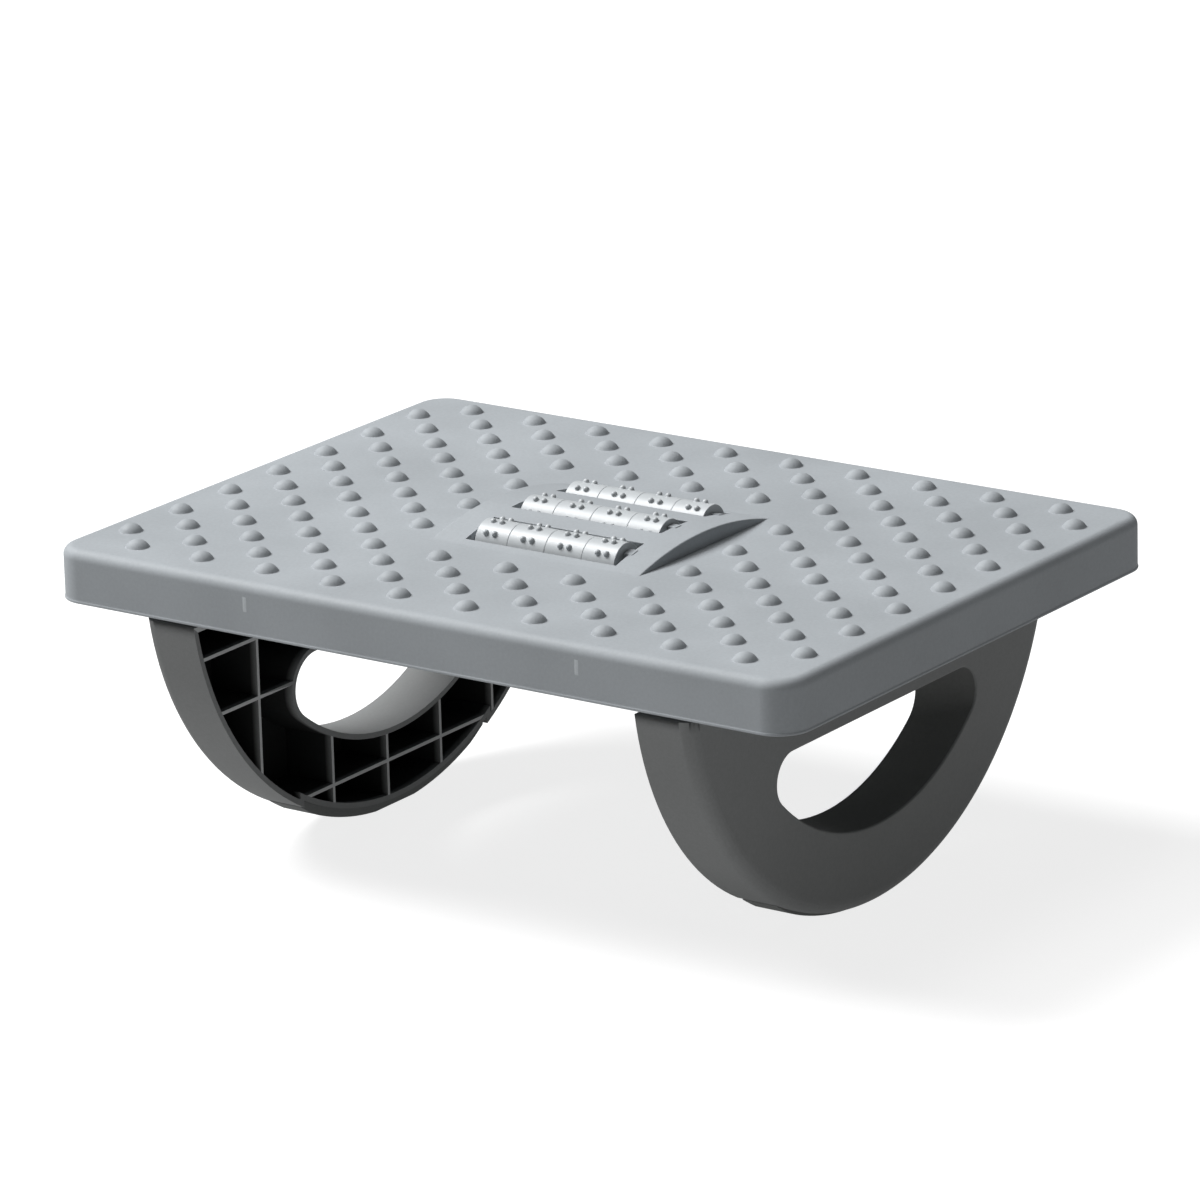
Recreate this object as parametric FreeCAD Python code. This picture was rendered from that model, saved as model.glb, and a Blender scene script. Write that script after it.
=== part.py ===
"""Rocking foot rest: a studded top plate on two D-shaped rockers, with three massage rollers.

Millimetres, +Z up.  The origin is on the floor under the middle of the plate, +X runs along
the plate's long side and +Y towards its back.  Each sub-part is written to parts/NODE.step.
"""
import FreeCAD
import Part
import math
import os

Vector = FreeCAD.Vector
X_AXIS = Vector(1, 0, 0)
Z_AXIS = Vector(0, 0, 1)

# Rockers: two half discs that carry the plate on their arcs.
ROCKER_SETBACK = 88.0
ROCKER_WIDTH = 31.6
ROCKER_WALL = 2.8
ROCKER_EDGE_ROUND = 7.0
ROCKER_RIB_THICKNESS = 1.8
ROCKER_UPRIGHTS = (-83.0, -37.5, 8.0, 53.5, 111.0)
ROCKER_SHELVES_BELOW_TOP = (47.0, 78.0, 140.5)
ARC_CENTRE_BELOW_TOP = 2.9
SHOULDER_GAP = 2.0
SHOULDER_INSET = 1.3

# Hand hole through each rocker: a straight top edge over an arc round the rocker's own centre.
HOLE_RIM = 40.7
HOLE_HEIGHT = 57.9
HOLE_CORNER_RADIUS = 14.0
HOLE_CORNER_DRAFT = 3.5
HOLE_ARC_DRAFT = 0.6
HOLE_EDGE_ROUND = 1.0

# Neck: the upper part of each rocker that goes up inside the plate's skirt.
NECK_INSET = 3.0
NECK_END_INSET = 14.0
NECK_WALL = 2.4
NECK_HEADROOM = 0.3
SOCKET_CLEARANCE = 0.3
SOCKET_RIB_THICKNESS = 2.2
SOCKET_RIB_DEPTH = 14.0

# Treads: rubber strips let into the bottom of each rocker.
TREAD_LENGTH = 156.0
TREAD_WIDTH = 20.0
TREAD_SETBACK = 2.5
TREAD_THICKNESS = 4.9
TREAD_PROUD = 1.6
TREAD_FLAT = 32.4
TREAD_CLEARANCE = 0.2
PEG_RADIUS = 2.5
PEG_LENGTH = 4.6
PEG_SPREAD = 96.0
PEG_CLEARANCE = 0.1
PEG_ROOT = 0.5
PEG_TIP_ROOM = 1.0

# Top plate: a shallow tray turned upside down.
PLATE_LENGTH = 437.4
PLATE_WIDTH = 323.0
PLATE_WALL = 2.6
PLATE_CORNER_RADIUS = 17.0
PLATE_EDGE_ROUND = 5.0
SKIRT_DEPTH = 27.0
LIP_HEIGHT = 1.2
LIP_PROUD = 0.3
PLATE_RIB_THICKNESS = 2.0
PLATE_RIB_DEPTH = 12.0
PLATE_RIB_ROWS = (66.0, 112.0)
PLATE_RIB_COLUMN = 92.0

# Studs on the plate, in rows that step half a pitch from one to the next.
STUD_PITCH = 40.0
STUD_MARGIN = 18.0
STUD_DIAMETER = 12.2
STUD_HEIGHT = 3.9
STUD_ROOT = 0.5

# Hump in the middle of the plate, arched from front to back, with the roller slots in it.
HUMP_SHOULDER = 17.2
HUMP_WIDTH = 112.0
HUMP_RISE = 8.0
HUMP_END_ROUND = 0.8

# Rollers: studded rings on a six-sided core, three in a row from front to back.
ROLLER_NAMES = ("front", "middle", "rear")
ROLLER_PITCH = 37.4
ROLLER_SINK = 7.8
OUTER_ROLLER_DROP = 2.4
RING_COUNT = 4
RING_RADIUS = 11.0
RING_PITCH = 22.3
RING_GAP = 0.3
RING_EDGE_ROUND = 0.4
END_RING_CUT = 2.85
RING_SHELL = 2.0
RING_HUB_RADIUS = 6.2
RING_RECESS_DEPTH = 7.0
PIMPLE_ROWS = 9
PIMPLE_PAIR_SPACING = 5.2
PIMPLE_DIAMETER = 2.9
PIMPLE_HEIGHT = 1.8
PIMPLE_ROOT = 0.4
PIMPLE_FIRST_TURNS = {"front": 0.55, "middle": 0.75, "rear": 0.98}
CORE_FLATS = 8.0
CORE_CLEARANCE = 0.05
JOURNAL_RADIUS = 3.0
JOURNAL_CLEARANCE = 0.05
JOURNAL_LENGTH = 6.4
SLOT_CLEARANCE = 0.8
SLOT_END_GAP = 3.4
THRUST_CLEARANCE = 0.5
FINGER_WIDTH = 5.0
FINGER_PROUD = 0.3
FINGER_ROOT = 2.0

# Bearing walls under the hump, closed from below by two screwed retainers.
BEARING_WALL = 5.0
BEARING_END_WALL = 1.2
BEARING_WALL_BELOW_TOP = 12.0
BEARING_WALL_MARGIN = 5.0
RETAINER_THICKNESS = 3.5
RETAINER_WIDTH = 8.5
RETAINER_CORNER_RADIUS = 2.5
RETAINER_TONGUE_CLEARANCE = 0.15
OUTER_SCREW_OFFSET = 17.5
BAY_WALL = 2.0
BAY_GAP = 4.1

# Screws.
SMALL_SCREW_RADIUS = 1.5
SMALL_SCREW_LENGTH = 10.0
SMALL_HEAD_RADIUS = 2.8
SMALL_HEAD_HEIGHT = 2.0
SMALL_BOSS_RADIUS = 4.0
LARGE_SCREW_RADIUS = 2.0
LARGE_SCREW_LENGTH = 25.0
LARGE_HEAD_RADIUS = 3.8
LARGE_HEAD_HEIGHT = 2.6
LARGE_BOSS_RADIUS = 4.8
LARGE_BOSS_LENGTH = 12.0
LARGE_SCREW_COVER = 2.0
SCREW_PASS_CLEARANCE = 0.25
SCREW_THREAD_CLEARANCE = 0.05
ROCKER_SCREW_ROWS = (-53.5, 53.5)
ROCKER_TUBE_RADIUS = 6.2
HEAD_EDGE_ROUND = 0.9
DRIVE_SLOT_LENGTH = 3.4
DRIVE_SLOT_WIDTH = 0.8
DRIVE_SLOT_DEPTH = 0.9
SCREW_TIP_ROOM = 0.5

# How far a rib, wall or boss is sunk into the skin that it grows on.
GROWN_IN = 0.5
HUMP_SKIN = 1.0

# Sizes that follow from those above.
ROCKER_INNER_X = PLATE_LENGTH / 2 - ROCKER_SETBACK
ROCKER_RADIUS = math.hypot(
    PLATE_WIDTH / 2 - SHOULDER_INSET, SKIRT_DEPTH + SHOULDER_GAP - ARC_CENTRE_BELOW_TOP)
HOLE_ARC_RADIUS = ROCKER_RADIUS - HOLE_RIM
NECK_LENGTH = PLATE_WIDTH - 2 * NECK_END_INSET
TREAD_RADIUS = ROCKER_RADIUS + TREAD_PROUD
ARC_Z = math.sqrt(TREAD_RADIUS ** 2 - (TREAD_FLAT / 2) ** 2)
TOP_Z = ARC_Z + ARC_CENTRE_BELOW_TOP
SKIRT_Z = TOP_Z - SKIRT_DEPTH
SHOULDER_Z = SKIRT_Z - SHOULDER_GAP
CEILING_Z = TOP_Z - PLATE_WALL
HOLE_TOP_Z = ARC_Z - HOLE_ARC_RADIUS + HOLE_HEIGHT
ROCKER_OUTER_X = ROCKER_INNER_X + ROCKER_WIDTH
ROCKER_MID_X = ROCKER_INNER_X + ROCKER_WIDTH / 2
TREAD_SEAT_RADIUS = TREAD_RADIUS - TREAD_THICKNESS
POCKET_DEPTH_X = TREAD_SETBACK + TREAD_WIDTH + TREAD_CLEARANCE
STUD_SPHERE_RADIUS = ((STUD_DIAMETER / 2) ** 2 + STUD_HEIGHT ** 2) / (2 * STUD_HEIGHT)
HUMP_ARC_RADIUS = ((HUMP_WIDTH / 2) ** 2 + HUMP_RISE ** 2) / (2 * HUMP_RISE)
HUMP_ARC_Z = TOP_Z + HUMP_RISE - HUMP_ARC_RADIUS
PIMPLE_SPHERE_RADIUS = ((PIMPLE_DIAMETER / 2) ** 2 + PIMPLE_HEIGHT ** 2) / (2 * PIMPLE_HEIGHT)
SLOT_RADIUS = RING_RADIUS + PIMPLE_HEIGHT + SLOT_CLEARANCE
RING_LENGTH = RING_PITCH - RING_GAP
ROLLER_HALF_LENGTH = (RING_COUNT * RING_PITCH - RING_GAP) / 2 - END_RING_CUT
SLOT_HALF_LENGTH = ROLLER_HALF_LENGTH + SLOT_END_GAP
HUMP_LENGTH = 2 * (SLOT_HALF_LENGTH + HUMP_SHOULDER)
CORE_HALF_LENGTH = ROLLER_HALF_LENGTH + THRUST_CLEARANCE / 2
BEARING_OUTER_X = SLOT_HALF_LENGTH + BEARING_WALL
BEARING_MID_X = SLOT_HALF_LENGTH + BEARING_WALL / 2
BEARING_WALL_Z = TOP_Z - BEARING_WALL_BELOW_TOP
RETAINER_Z = BEARING_WALL_Z - RETAINER_THICKNESS
OUTER_SCREW_Y = ROLLER_PITCH + OUTER_SCREW_OFFSET
RETAINER_SCREW_ROWS = (-OUTER_SCREW_Y, -ROLLER_PITCH / 2, ROLLER_PITCH / 2, OUTER_SCREW_Y)
BEARING_WALL_HALF_LENGTH = OUTER_SCREW_Y + BEARING_WALL_MARGIN
BAY_WALL_Y = ROLLER_PITCH + SLOT_RADIUS + BAY_GAP
PLATE_BOSS_Z = CEILING_Z - LARGE_BOSS_LENGTH
SCREW_SEAT_Z = CEILING_Z - LARGE_SCREW_COVER - LARGE_SCREW_LENGTH


def roller_axis(name):
    """Y and Z of one roller's axis; the outer two sit lower, as the hump falls away."""
    step = ROLLER_NAMES.index(name) - 1
    drop = OUTER_ROLLER_DROP * abs(step)
    return step * ROLLER_PITCH, TOP_Z + HUMP_RISE - ROLLER_SINK - drop


def both_sides(near, far):
    """Low and high end of a span from near to far, on the minus side and on the plus side."""
    return (-far, -near), (near, far)


def box(x0, x1, y0, y1, z0, z1):
    """Box between two corners."""
    return Part.makeBox(x1 - x0, y1 - y0, z1 - z0, Vector(x0, y0, z0))


def cylinder_x(radius, x0, x1, y, z):
    """Cylinder along X from x0 to x1."""
    return Part.makeCylinder(radius, x1 - x0, Vector(x0, y, z), X_AXIS)


def cylinder_z(radius, x, y, z0, z1):
    """Upright cylinder from z0 to z1."""
    return Part.makeCylinder(radius, z1 - z0, Vector(x, y, z0), Z_AXIS)


def fuse_all(first, others):
    """One clean solid of a shape and the shapes that grow on it."""
    return first.fuse(others).removeSplitter() if others else first


def turned_to_left(shape):
    """The same moulding turned half round for the other side."""
    turned = shape.copy()
    turned.rotate(Vector(0, 0, 0), Z_AXIS, 180)
    return turned


def edges_at_x(shape, x, curve, least_radius=0.0):
    """Edges of one curve type that lie wholly in the plane at x."""
    found = []
    for edge in shape.Edges:
        level = abs(edge.BoundBox.XMin - x) < 1e-4 and abs(edge.BoundBox.XMax - x) < 1e-4
        if level and isinstance(edge.Curve, curve):
            if least_radius == 0.0 or edge.Curve.Radius > least_radius:
                found.append(edge)
    return found


# Rockers.

def hole_outline(x, grow):
    """Outline of the hand hole at x, moved out by grow; inside the outer wall it narrows with the draft."""
    share = max(0.0, (ROCKER_OUTER_X - ROCKER_WALL - x) / (ROCKER_WIDTH - ROCKER_WALL))
    arc_radius = HOLE_ARC_RADIUS - HOLE_ARC_DRAFT * share
    corner_radius = HOLE_CORNER_RADIUS + HOLE_CORNER_DRAFT * share
    inner = arc_radius - corner_radius
    corner_drop = ARC_Z - HOLE_TOP_Z + corner_radius
    corner_y = math.sqrt(inner ** 2 - corner_drop ** 2)
    corner_z = ARC_Z - corner_drop
    arc_radius += grow
    corner_radius += grow
    top_z = HOLE_TOP_Z + grow
    end_y = corner_y * arc_radius / inner
    end_z = ARC_Z - corner_drop * arc_radius / inner
    lean = math.atan2(corner_y, corner_drop)
    half_turn = (math.pi - lean) / 2
    side_y = corner_y + corner_radius * math.sin(half_turn)
    side_z = corner_z + corner_radius * math.cos(half_turn)
    right_top = Vector(x, corner_y, top_z)
    right_side = Vector(x, side_y, side_z)
    right_end = Vector(x, end_y, end_z)
    bottom = Vector(x, 0, ARC_Z - arc_radius)
    left_end = Vector(x, -end_y, end_z)
    left_side = Vector(x, -side_y, side_z)
    left_top = Vector(x, -corner_y, top_z)
    return Part.Wire([
        Part.LineSegment(left_top, right_top).toShape(),
        Part.Arc(right_top, right_side, right_end).toShape(),
        Part.Arc(right_end, bottom, left_end).toShape(),
        Part.Arc(left_end, left_side, left_top).toShape()])


def hand_hole(grow, x0, x1):
    """Body of the hand hole, straight through the outer wall and with draft from there inwards."""
    wall_x = ROCKER_OUTER_X - ROCKER_WALL
    outline = hole_outline(wall_x, grow)
    straight = Part.Face(outline).extrude(Vector(x1 - wall_x, 0, 0))
    drafted = Part.makeLoft([hole_outline(x0, grow), outline], True, True)
    return drafted.fuse(straight)


def arc_band(inner_radius, outer_radius, half_length, x0, x1):
    """Stretch of a ring round the rocker's centre, below it and within half_length of the middle."""
    ring = cylinder_x(outer_radius, x0, x1, 0, ARC_Z).cut(cylinder_x(inner_radius, x0, x1, 0, ARC_Z))
    reach = outer_radius + 1
    return ring.common(box(x0, x1, -half_length, half_length, ARC_Z - reach, ARC_Z))


def rocker_body():
    """Outside of a rocker with no hollow in it: half disc, shoulder and neck."""
    disc = cylinder_x(ROCKER_RADIUS, ROCKER_INNER_X, ROCKER_OUTER_X, 0, ARC_Z)
    disc = disc.makeFillet(ROCKER_EDGE_ROUND, edges_at_x(disc, ROCKER_OUTER_X, Part.Circle))
    reach = ROCKER_RADIUS + 1
    disc = disc.common(box(ROCKER_INNER_X, ROCKER_OUTER_X, -reach, reach, ARC_Z - reach, SHOULDER_Z))
    neck = box(
        ROCKER_INNER_X + NECK_INSET, ROCKER_OUTER_X - NECK_INSET, -NECK_LENGTH / 2, NECK_LENGTH / 2,
        SHOULDER_Z - 1, CEILING_Z - NECK_HEADROOM)
    return disc.fuse(neck).removeSplitter()


def rocker_hollow():
    """Space inside a rocker, open towards the middle of the foot rest."""
    end_x = ROCKER_OUTER_X - ROCKER_WALL
    start_x = ROCKER_INNER_X - 1
    radius = ROCKER_RADIUS - ROCKER_WALL
    inner_round = ROCKER_EDGE_ROUND - ROCKER_WALL
    disc = cylinder_x(radius, start_x, end_x, 0, ARC_Z)
    disc = disc.makeFillet(inner_round, edges_at_x(disc, end_x, Part.Circle))
    disc = disc.common(box(start_x, end_x, -radius, radius, ARC_Z - radius - 1, SHOULDER_Z - ROCKER_WALL))
    half_neck = NECK_LENGTH / 2 - NECK_WALL
    neck = box(
        ROCKER_INNER_X + NECK_INSET + NECK_WALL, ROCKER_OUTER_X - NECK_INSET - NECK_WALL,
        -half_neck, half_neck, SHOULDER_Z - ROCKER_WALL - 1, CEILING_Z)
    hollow = disc.fuse(neck)
    step_half = TREAD_LENGTH / 2 + TREAD_CLEARANCE + ROCKER_WALL
    step = arc_band(
        TREAD_SEAT_RADIUS - ROCKER_WALL, ROCKER_RADIUS, step_half, ROCKER_INNER_X - 2,
        ROCKER_INNER_X + POCKET_DEPTH_X + ROCKER_WALL)
    return hollow.cut(step)


def rocker_ribs():
    """Uprights and shelves that stiffen a rocker."""
    half = ROCKER_RIB_THICKNESS / 2
    low = ARC_Z - ROCKER_RADIUS
    ribs = []
    for y in ROCKER_UPRIGHTS:
        ribs.append(box(ROCKER_INNER_X, ROCKER_OUTER_X, y - half, y + half, low, SHOULDER_Z))
    for below in ROCKER_SHELVES_BELOW_TOP:
        z = TOP_Z - below
        ribs.append(box(
            ROCKER_INNER_X, ROCKER_OUTER_X, -ROCKER_RADIUS, ROCKER_RADIUS, z - half, z + half))
    return ribs


def peg(radius, extra, side):
    """Peg of a tread, pointing at the rocker's centre, longer by extra at both ends."""
    lean = math.asin(side * PEG_SPREAD / 2 / TREAD_SEAT_RADIUS)
    outwards = Vector(0, math.sin(lean), -math.cos(lean))
    middle_x = ROCKER_INNER_X + TREAD_SETBACK + TREAD_WIDTH / 2
    root = Vector(middle_x, 0, ARC_Z) + outwards * (TREAD_SEAT_RADIUS + extra)
    return Part.makeCylinder(radius, PEG_LENGTH + 2 * extra, root, outwards * -1)


def make_rocker():
    """Right-hand rocker: closed outer face, open ribbed inner face, hand hole and tread pocket."""
    end_x = ROCKER_OUTER_X + 1
    tubes = [
        cylinder_z(ROCKER_TUBE_RADIUS, ROCKER_MID_X, y, HOLE_TOP_Z, PLATE_BOSS_Z)
        for y in ROCKER_SCREW_ROWS]
    rim = hand_hole(ROCKER_WALL, ROCKER_INNER_X, end_x)
    hollow = rocker_hollow().cut(rocker_ribs() + tubes + [rim])
    rocker = rocker_body().cut(hollow)
    hole = hand_hole(0.0, ROCKER_INNER_X - 1, end_x)
    pocket = arc_band(
        TREAD_SEAT_RADIUS, ROCKER_RADIUS + 1, TREAD_LENGTH / 2 + TREAD_CLEARANCE,
        ROCKER_INNER_X - 1, ROCKER_INNER_X + POCKET_DEPTH_X)
    bores = []
    for y in ROCKER_SCREW_ROWS:
        pass_radius = LARGE_SCREW_RADIUS + SCREW_PASS_CLEARANCE
        bores.append(cylinder_z(pass_radius, ROCKER_MID_X, y, HOLE_TOP_Z - 1, TOP_Z))
        head_radius = LARGE_HEAD_RADIUS + SCREW_PASS_CLEARANCE
        bores.append(cylinder_z(head_radius, ROCKER_MID_X, y, HOLE_TOP_Z - 1, SCREW_SEAT_Z))
        landing = ROCKER_TUBE_RADIUS + 1
        bores.append(cylinder_z(landing, ROCKER_MID_X, y, PLATE_BOSS_Z, TOP_Z))
    bores += [peg(PEG_RADIUS + PEG_CLEARANCE, PEG_TIP_ROOM, side) for side in (-1, 1)]
    rocker = rocker.cut([hole, pocket] + bores).removeSplitter()
    rim_edges = [
        edge for edge in edges_at_x(rocker, ROCKER_OUTER_X, (Part.Circle, Part.Line))
        if not (isinstance(edge.Curve, Part.Circle) and edge.Curve.Radius > HOLE_ARC_RADIUS + 1)
        and edge.BoundBox.ZMax < HOLE_TOP_Z + 0.01]
    return rocker.makeFillet(HOLE_EDGE_ROUND, rim_edges)


def make_tread():
    """Right-hand tread: rubber strip with two pegs, flat where the foot rest stands level."""
    start_x = ROCKER_INNER_X + TREAD_SETBACK
    end_x = start_x + TREAD_WIDTH
    strip = arc_band(TREAD_SEAT_RADIUS, TREAD_RADIUS, TREAD_LENGTH / 2, start_x, end_x)
    strip = strip.common(box(start_x, end_x, -TREAD_LENGTH, TREAD_LENGTH, 0, ARC_Z))
    return fuse_all(strip, [peg(PEG_RADIUS, PEG_ROOT, side) for side in (-1, 1)])


# Top plate.

def rounded_tray(length, width, corner, z0, z1, edge_round):
    """Block with rounded corners and, where edge_round is over 0, a rounded top edge."""
    block = box(-length / 2, length / 2, -width / 2, width / 2, z0, z1)
    upright = [e for e in block.Edges if e.BoundBox.ZLength > (z1 - z0) / 2]
    block = block.makeFillet(corner, upright)
    if edge_round > 0:
        top = [e for e in block.Edges if e.BoundBox.ZMin > z1 - 1e-4]
        block = block.makeFillet(edge_round, top)
    return block


def hump_block(shrink, z0):
    """Arched block of the hump down to z0, its arc and ends drawn in by shrink."""
    half_length = HUMP_LENGTH / 2 - shrink
    arch = cylinder_x(HUMP_ARC_RADIUS - shrink, -half_length, half_length, 0, HUMP_ARC_Z)
    return arch.common(box(
        -half_length, half_length, -HUMP_WIDTH, HUMP_WIDTH, z0, HUMP_ARC_Z + HUMP_ARC_RADIUS + 1))


def rounded_hump():
    """Outside of the hump, with its two end edges rounded."""
    block = hump_block(0.0, TOP_Z - PLATE_WALL / 2)
    ends = []
    for side in (-1, 1):
        ends += edges_at_x(block, side * HUMP_LENGTH / 2, Part.Circle)
    return block.makeFillet(HUMP_END_ROUND, ends)


def stud_places():
    """X and Y of each stud: staggered rows, with the middle left free for the hump."""
    places = []
    half_pitch = STUD_PITCH / 2
    columns = int((PLATE_LENGTH / 2 - STUD_MARGIN) // half_pitch)
    rows = int((PLATE_WIDTH / 2 - STUD_MARGIN) // half_pitch)
    hump_x = (HUMP_LENGTH + STUD_DIAMETER) / 2
    hump_y = (HUMP_WIDTH + STUD_DIAMETER) / 2
    for row in range(-rows, rows + 1):
        for column in range(-columns, columns + 1):
            x = column * half_pitch
            y = row * half_pitch
            staggered = (row + column) % 2 == 0
            if staggered and (abs(x) > hump_x or abs(y) > hump_y):
                places.append((x, y))
    return places


def stud(x, y):
    """Low dome on the plate, rooted just under the surface."""
    depth = STUD_SPHERE_RADIUS - STUD_HEIGHT
    low = math.degrees(math.asin((depth - STUD_ROOT) / STUD_SPHERE_RADIUS))
    return Part.makeSphere(STUD_SPHERE_RADIUS, Vector(x, y, TOP_Z - depth), Z_AXIS, low, 90, 360)


def plate_ribs():
    """Stiffening ribs and rocker sockets under the plate, with room for each rocker's neck."""
    low = CEILING_Z - PLATE_RIB_DEPTH
    high = CEILING_Z + GROWN_IN
    half = PLATE_RIB_THICKNESS / 2
    reach_x = PLATE_LENGTH / 2 - PLATE_WALL + GROWN_IN
    reach_y = PLATE_WIDTH / 2 - PLATE_WALL + GROWN_IN
    ribs = []
    for row in PLATE_RIB_ROWS:
        for y in (-row, row):
            ribs.append(box(-reach_x, reach_x, y - half, y + half, low, high))
    for x in (-PLATE_RIB_COLUMN, PLATE_RIB_COLUMN):
        ribs.append(box(x - half, x + half, -reach_y, reach_y, low, high))
    sockets = []
    spaces = []
    near = ROCKER_INNER_X + NECK_INSET - SOCKET_CLEARANCE
    far = ROCKER_OUTER_X - NECK_INSET + SOCKET_CLEARANCE
    half_y = NECK_LENGTH / 2 + SOCKET_CLEARANCE
    wall = SOCKET_RIB_THICKNESS
    socket_low = CEILING_Z - SOCKET_RIB_DEPTH
    for x0, x1 in both_sides(near, far):
        sockets.append(box(x0 - wall, x1 + wall, -half_y - wall, half_y + wall, socket_low, high))
        spaces.append(box(x0, x1, -half_y, half_y, socket_low - 1, CEILING_Z))
    return ribs + sockets, spaces


def bearing_walls():
    """Walls under the hump that carry the rollers, with screw bosses, and the bay's side walls."""
    solids = []
    high = CEILING_Z + GROWN_IN
    length = BEARING_WALL_HALF_LENGTH
    for x0, x1 in both_sides(SLOT_HALF_LENGTH, BEARING_OUTER_X):
        solids.append(box(x0, x1, -length, length, BEARING_WALL_Z, high))
        riser = box(x0, x1, -HUMP_WIDTH / 2, HUMP_WIDTH / 2, CEILING_Z, TOP_Z + HUMP_RISE)
        solids.append(riser.common(hump_block(HUMP_SKIN, CEILING_Z)))
        for y in RETAINER_SCREW_ROWS:
            solids.append(cylinder_z(SMALL_BOSS_RADIUS, (x0 + x1) / 2, y, BEARING_WALL_Z, high))
    for y0, y1 in both_sides(BAY_WALL_Y, BAY_WALL_Y + BAY_WALL):
        solids.append(box(-BEARING_MID_X, BEARING_MID_X, y0, y1, BEARING_WALL_Z, high))
    return solids


def roller_slots():
    """Slots in the hump that the rollers turn in."""
    slots = []
    for name in ROLLER_NAMES:
        y, z = roller_axis(name)
        slots.append(cylinder_x(SLOT_RADIUS, -SLOT_HALF_LENGTH, SLOT_HALF_LENGTH, y, z))
    return slots


def slot_fingers():
    """Fingers that reach from the ends of the slots over the journals."""
    raised = hump_block(-FINGER_PROUD, CEILING_Z - PLATE_WALL)
    half = FINGER_WIDTH / 2
    fingers = []
    for name in ROLLER_NAMES:
        y, z = roller_axis(name)
        start = ROLLER_HALF_LENGTH + THRUST_CLEARANCE
        for x0, x1 in both_sides(start, SLOT_HALF_LENGTH + FINGER_ROOT):
            high = TOP_Z + HUMP_RISE + 1
            fingers.append(box(x0, x1, y - half, y + half, z, high).common(raised))
    return fingers


def journal_slots():
    """Slots, open downwards, in which the journals turn."""
    radius = JOURNAL_RADIUS + JOURNAL_CLEARANCE
    slots = []
    for name in ROLLER_NAMES:
        y, z = roller_axis(name)
        for x0, x1 in both_sides(ROLLER_HALF_LENGTH, BEARING_OUTER_X - BEARING_END_WALL):
            slots.append(cylinder_x(radius, x0, x1, y, z))
            slots.append(box(x0, x1, y - radius, y + radius, BEARING_WALL_Z - 1, z))
    return slots


def plate_screw_holes():
    """Blind holes that the retainers' and the rockers' screws bite into."""
    holes = []
    for side in (-1, 1):
        for y in RETAINER_SCREW_ROWS:
            tip = RETAINER_Z + SMALL_SCREW_LENGTH + SCREW_TIP_ROOM
            radius = SMALL_SCREW_RADIUS + SCREW_THREAD_CLEARANCE
            holes.append(cylinder_z(radius, side * BEARING_MID_X, y, BEARING_WALL_Z - 1, tip))
        for y in ROCKER_SCREW_ROWS:
            tip = SCREW_SEAT_Z + LARGE_SCREW_LENGTH + SCREW_TIP_ROOM
            radius = LARGE_SCREW_RADIUS + SCREW_THREAD_CLEARANCE
            holes.append(cylinder_z(radius, side * ROCKER_MID_X, y, PLATE_BOSS_Z - 1, tip))
    return holes


def plate_shell():
    """Skirted tray with the hump on it, hollow from below."""
    tray = rounded_tray(
        PLATE_LENGTH, PLATE_WIDTH, PLATE_CORNER_RADIUS, SKIRT_Z, TOP_Z, PLATE_EDGE_ROUND)
    lip = rounded_tray(
        PLATE_LENGTH + 2 * LIP_PROUD, PLATE_WIDTH + 2 * LIP_PROUD, PLATE_CORNER_RADIUS + LIP_PROUD,
        SKIRT_Z, SKIRT_Z + LIP_HEIGHT, 0)
    room = rounded_tray(
        PLATE_LENGTH - 2 * PLATE_WALL, PLATE_WIDTH - 2 * PLATE_WALL, PLATE_CORNER_RADIUS - PLATE_WALL,
        SKIRT_Z - 1, CEILING_Z, PLATE_EDGE_ROUND - PLATE_WALL)
    under_hump = hump_block(PLATE_WALL, CEILING_Z - GROWN_IN)
    return tray.fuse([lip, rounded_hump()]).cut([room, under_hump])


def make_plate():
    """Top plate: studded tray with an arched hump, roller slots, ribs, sockets and bosses."""
    grown, spaces = plate_ribs()
    bay = box(
        -BEARING_MID_X, BEARING_MID_X, -BAY_WALL_Y, BAY_WALL_Y, BEARING_WALL_Z - 1, CEILING_Z)
    ribs = grown[0].fuse(grown[1:]).cut(spaces + [bay])
    bosses = [
        cylinder_z(LARGE_BOSS_RADIUS, side * ROCKER_MID_X, y, PLATE_BOSS_Z, CEILING_Z + GROWN_IN)
        for side in (-1, 1) for y in ROCKER_SCREW_ROWS]
    plate = plate_shell().fuse([ribs] + bosses + bearing_walls())
    plate = plate.cut(roller_slots()).fuse(slot_fingers())
    plate = plate.cut(journal_slots() + plate_screw_holes())
    return fuse_all(plate, [stud(x, y) for x, y in stud_places()])


# Rollers.

def ring_pimples(x_mid, first_turn):
    """Pairs of small domes round one ring, the first turned by a share of the pitch."""
    depth = PIMPLE_SPHERE_RADIUS - PIMPLE_HEIGHT
    low = math.degrees(math.asin((depth - PIMPLE_ROOT) / PIMPLE_SPHERE_RADIUS))
    domes = []
    for row in range(PIMPLE_ROWS):
        angle = 2 * math.pi * (row + first_turn) / PIMPLE_ROWS
        outwards = Vector(0, math.cos(angle), math.sin(angle))
        for side in (-1, 1):
            place = Vector(x_mid + side * PIMPLE_PAIR_SPACING / 2, 0, 0)
            centre = place + outwards * (RING_RADIUS - depth)
            domes.append(Part.makeSphere(PIMPLE_SPHERE_RADIUS, centre, outwards, low, 90, 360))
    return domes


def six_sided_bar(across_flats, x0, x1):
    """Hexagonal bar along X."""
    corner = across_flats / math.sqrt(3)
    points = []
    for step in range(7):
        angle = math.pi / 3 * step
        points.append(Vector(x0, corner * math.cos(angle), corner * math.sin(angle)))
    return Part.Face(Part.makePolygon(points)).extrude(Vector(x1 - x0, 0, 0))


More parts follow.
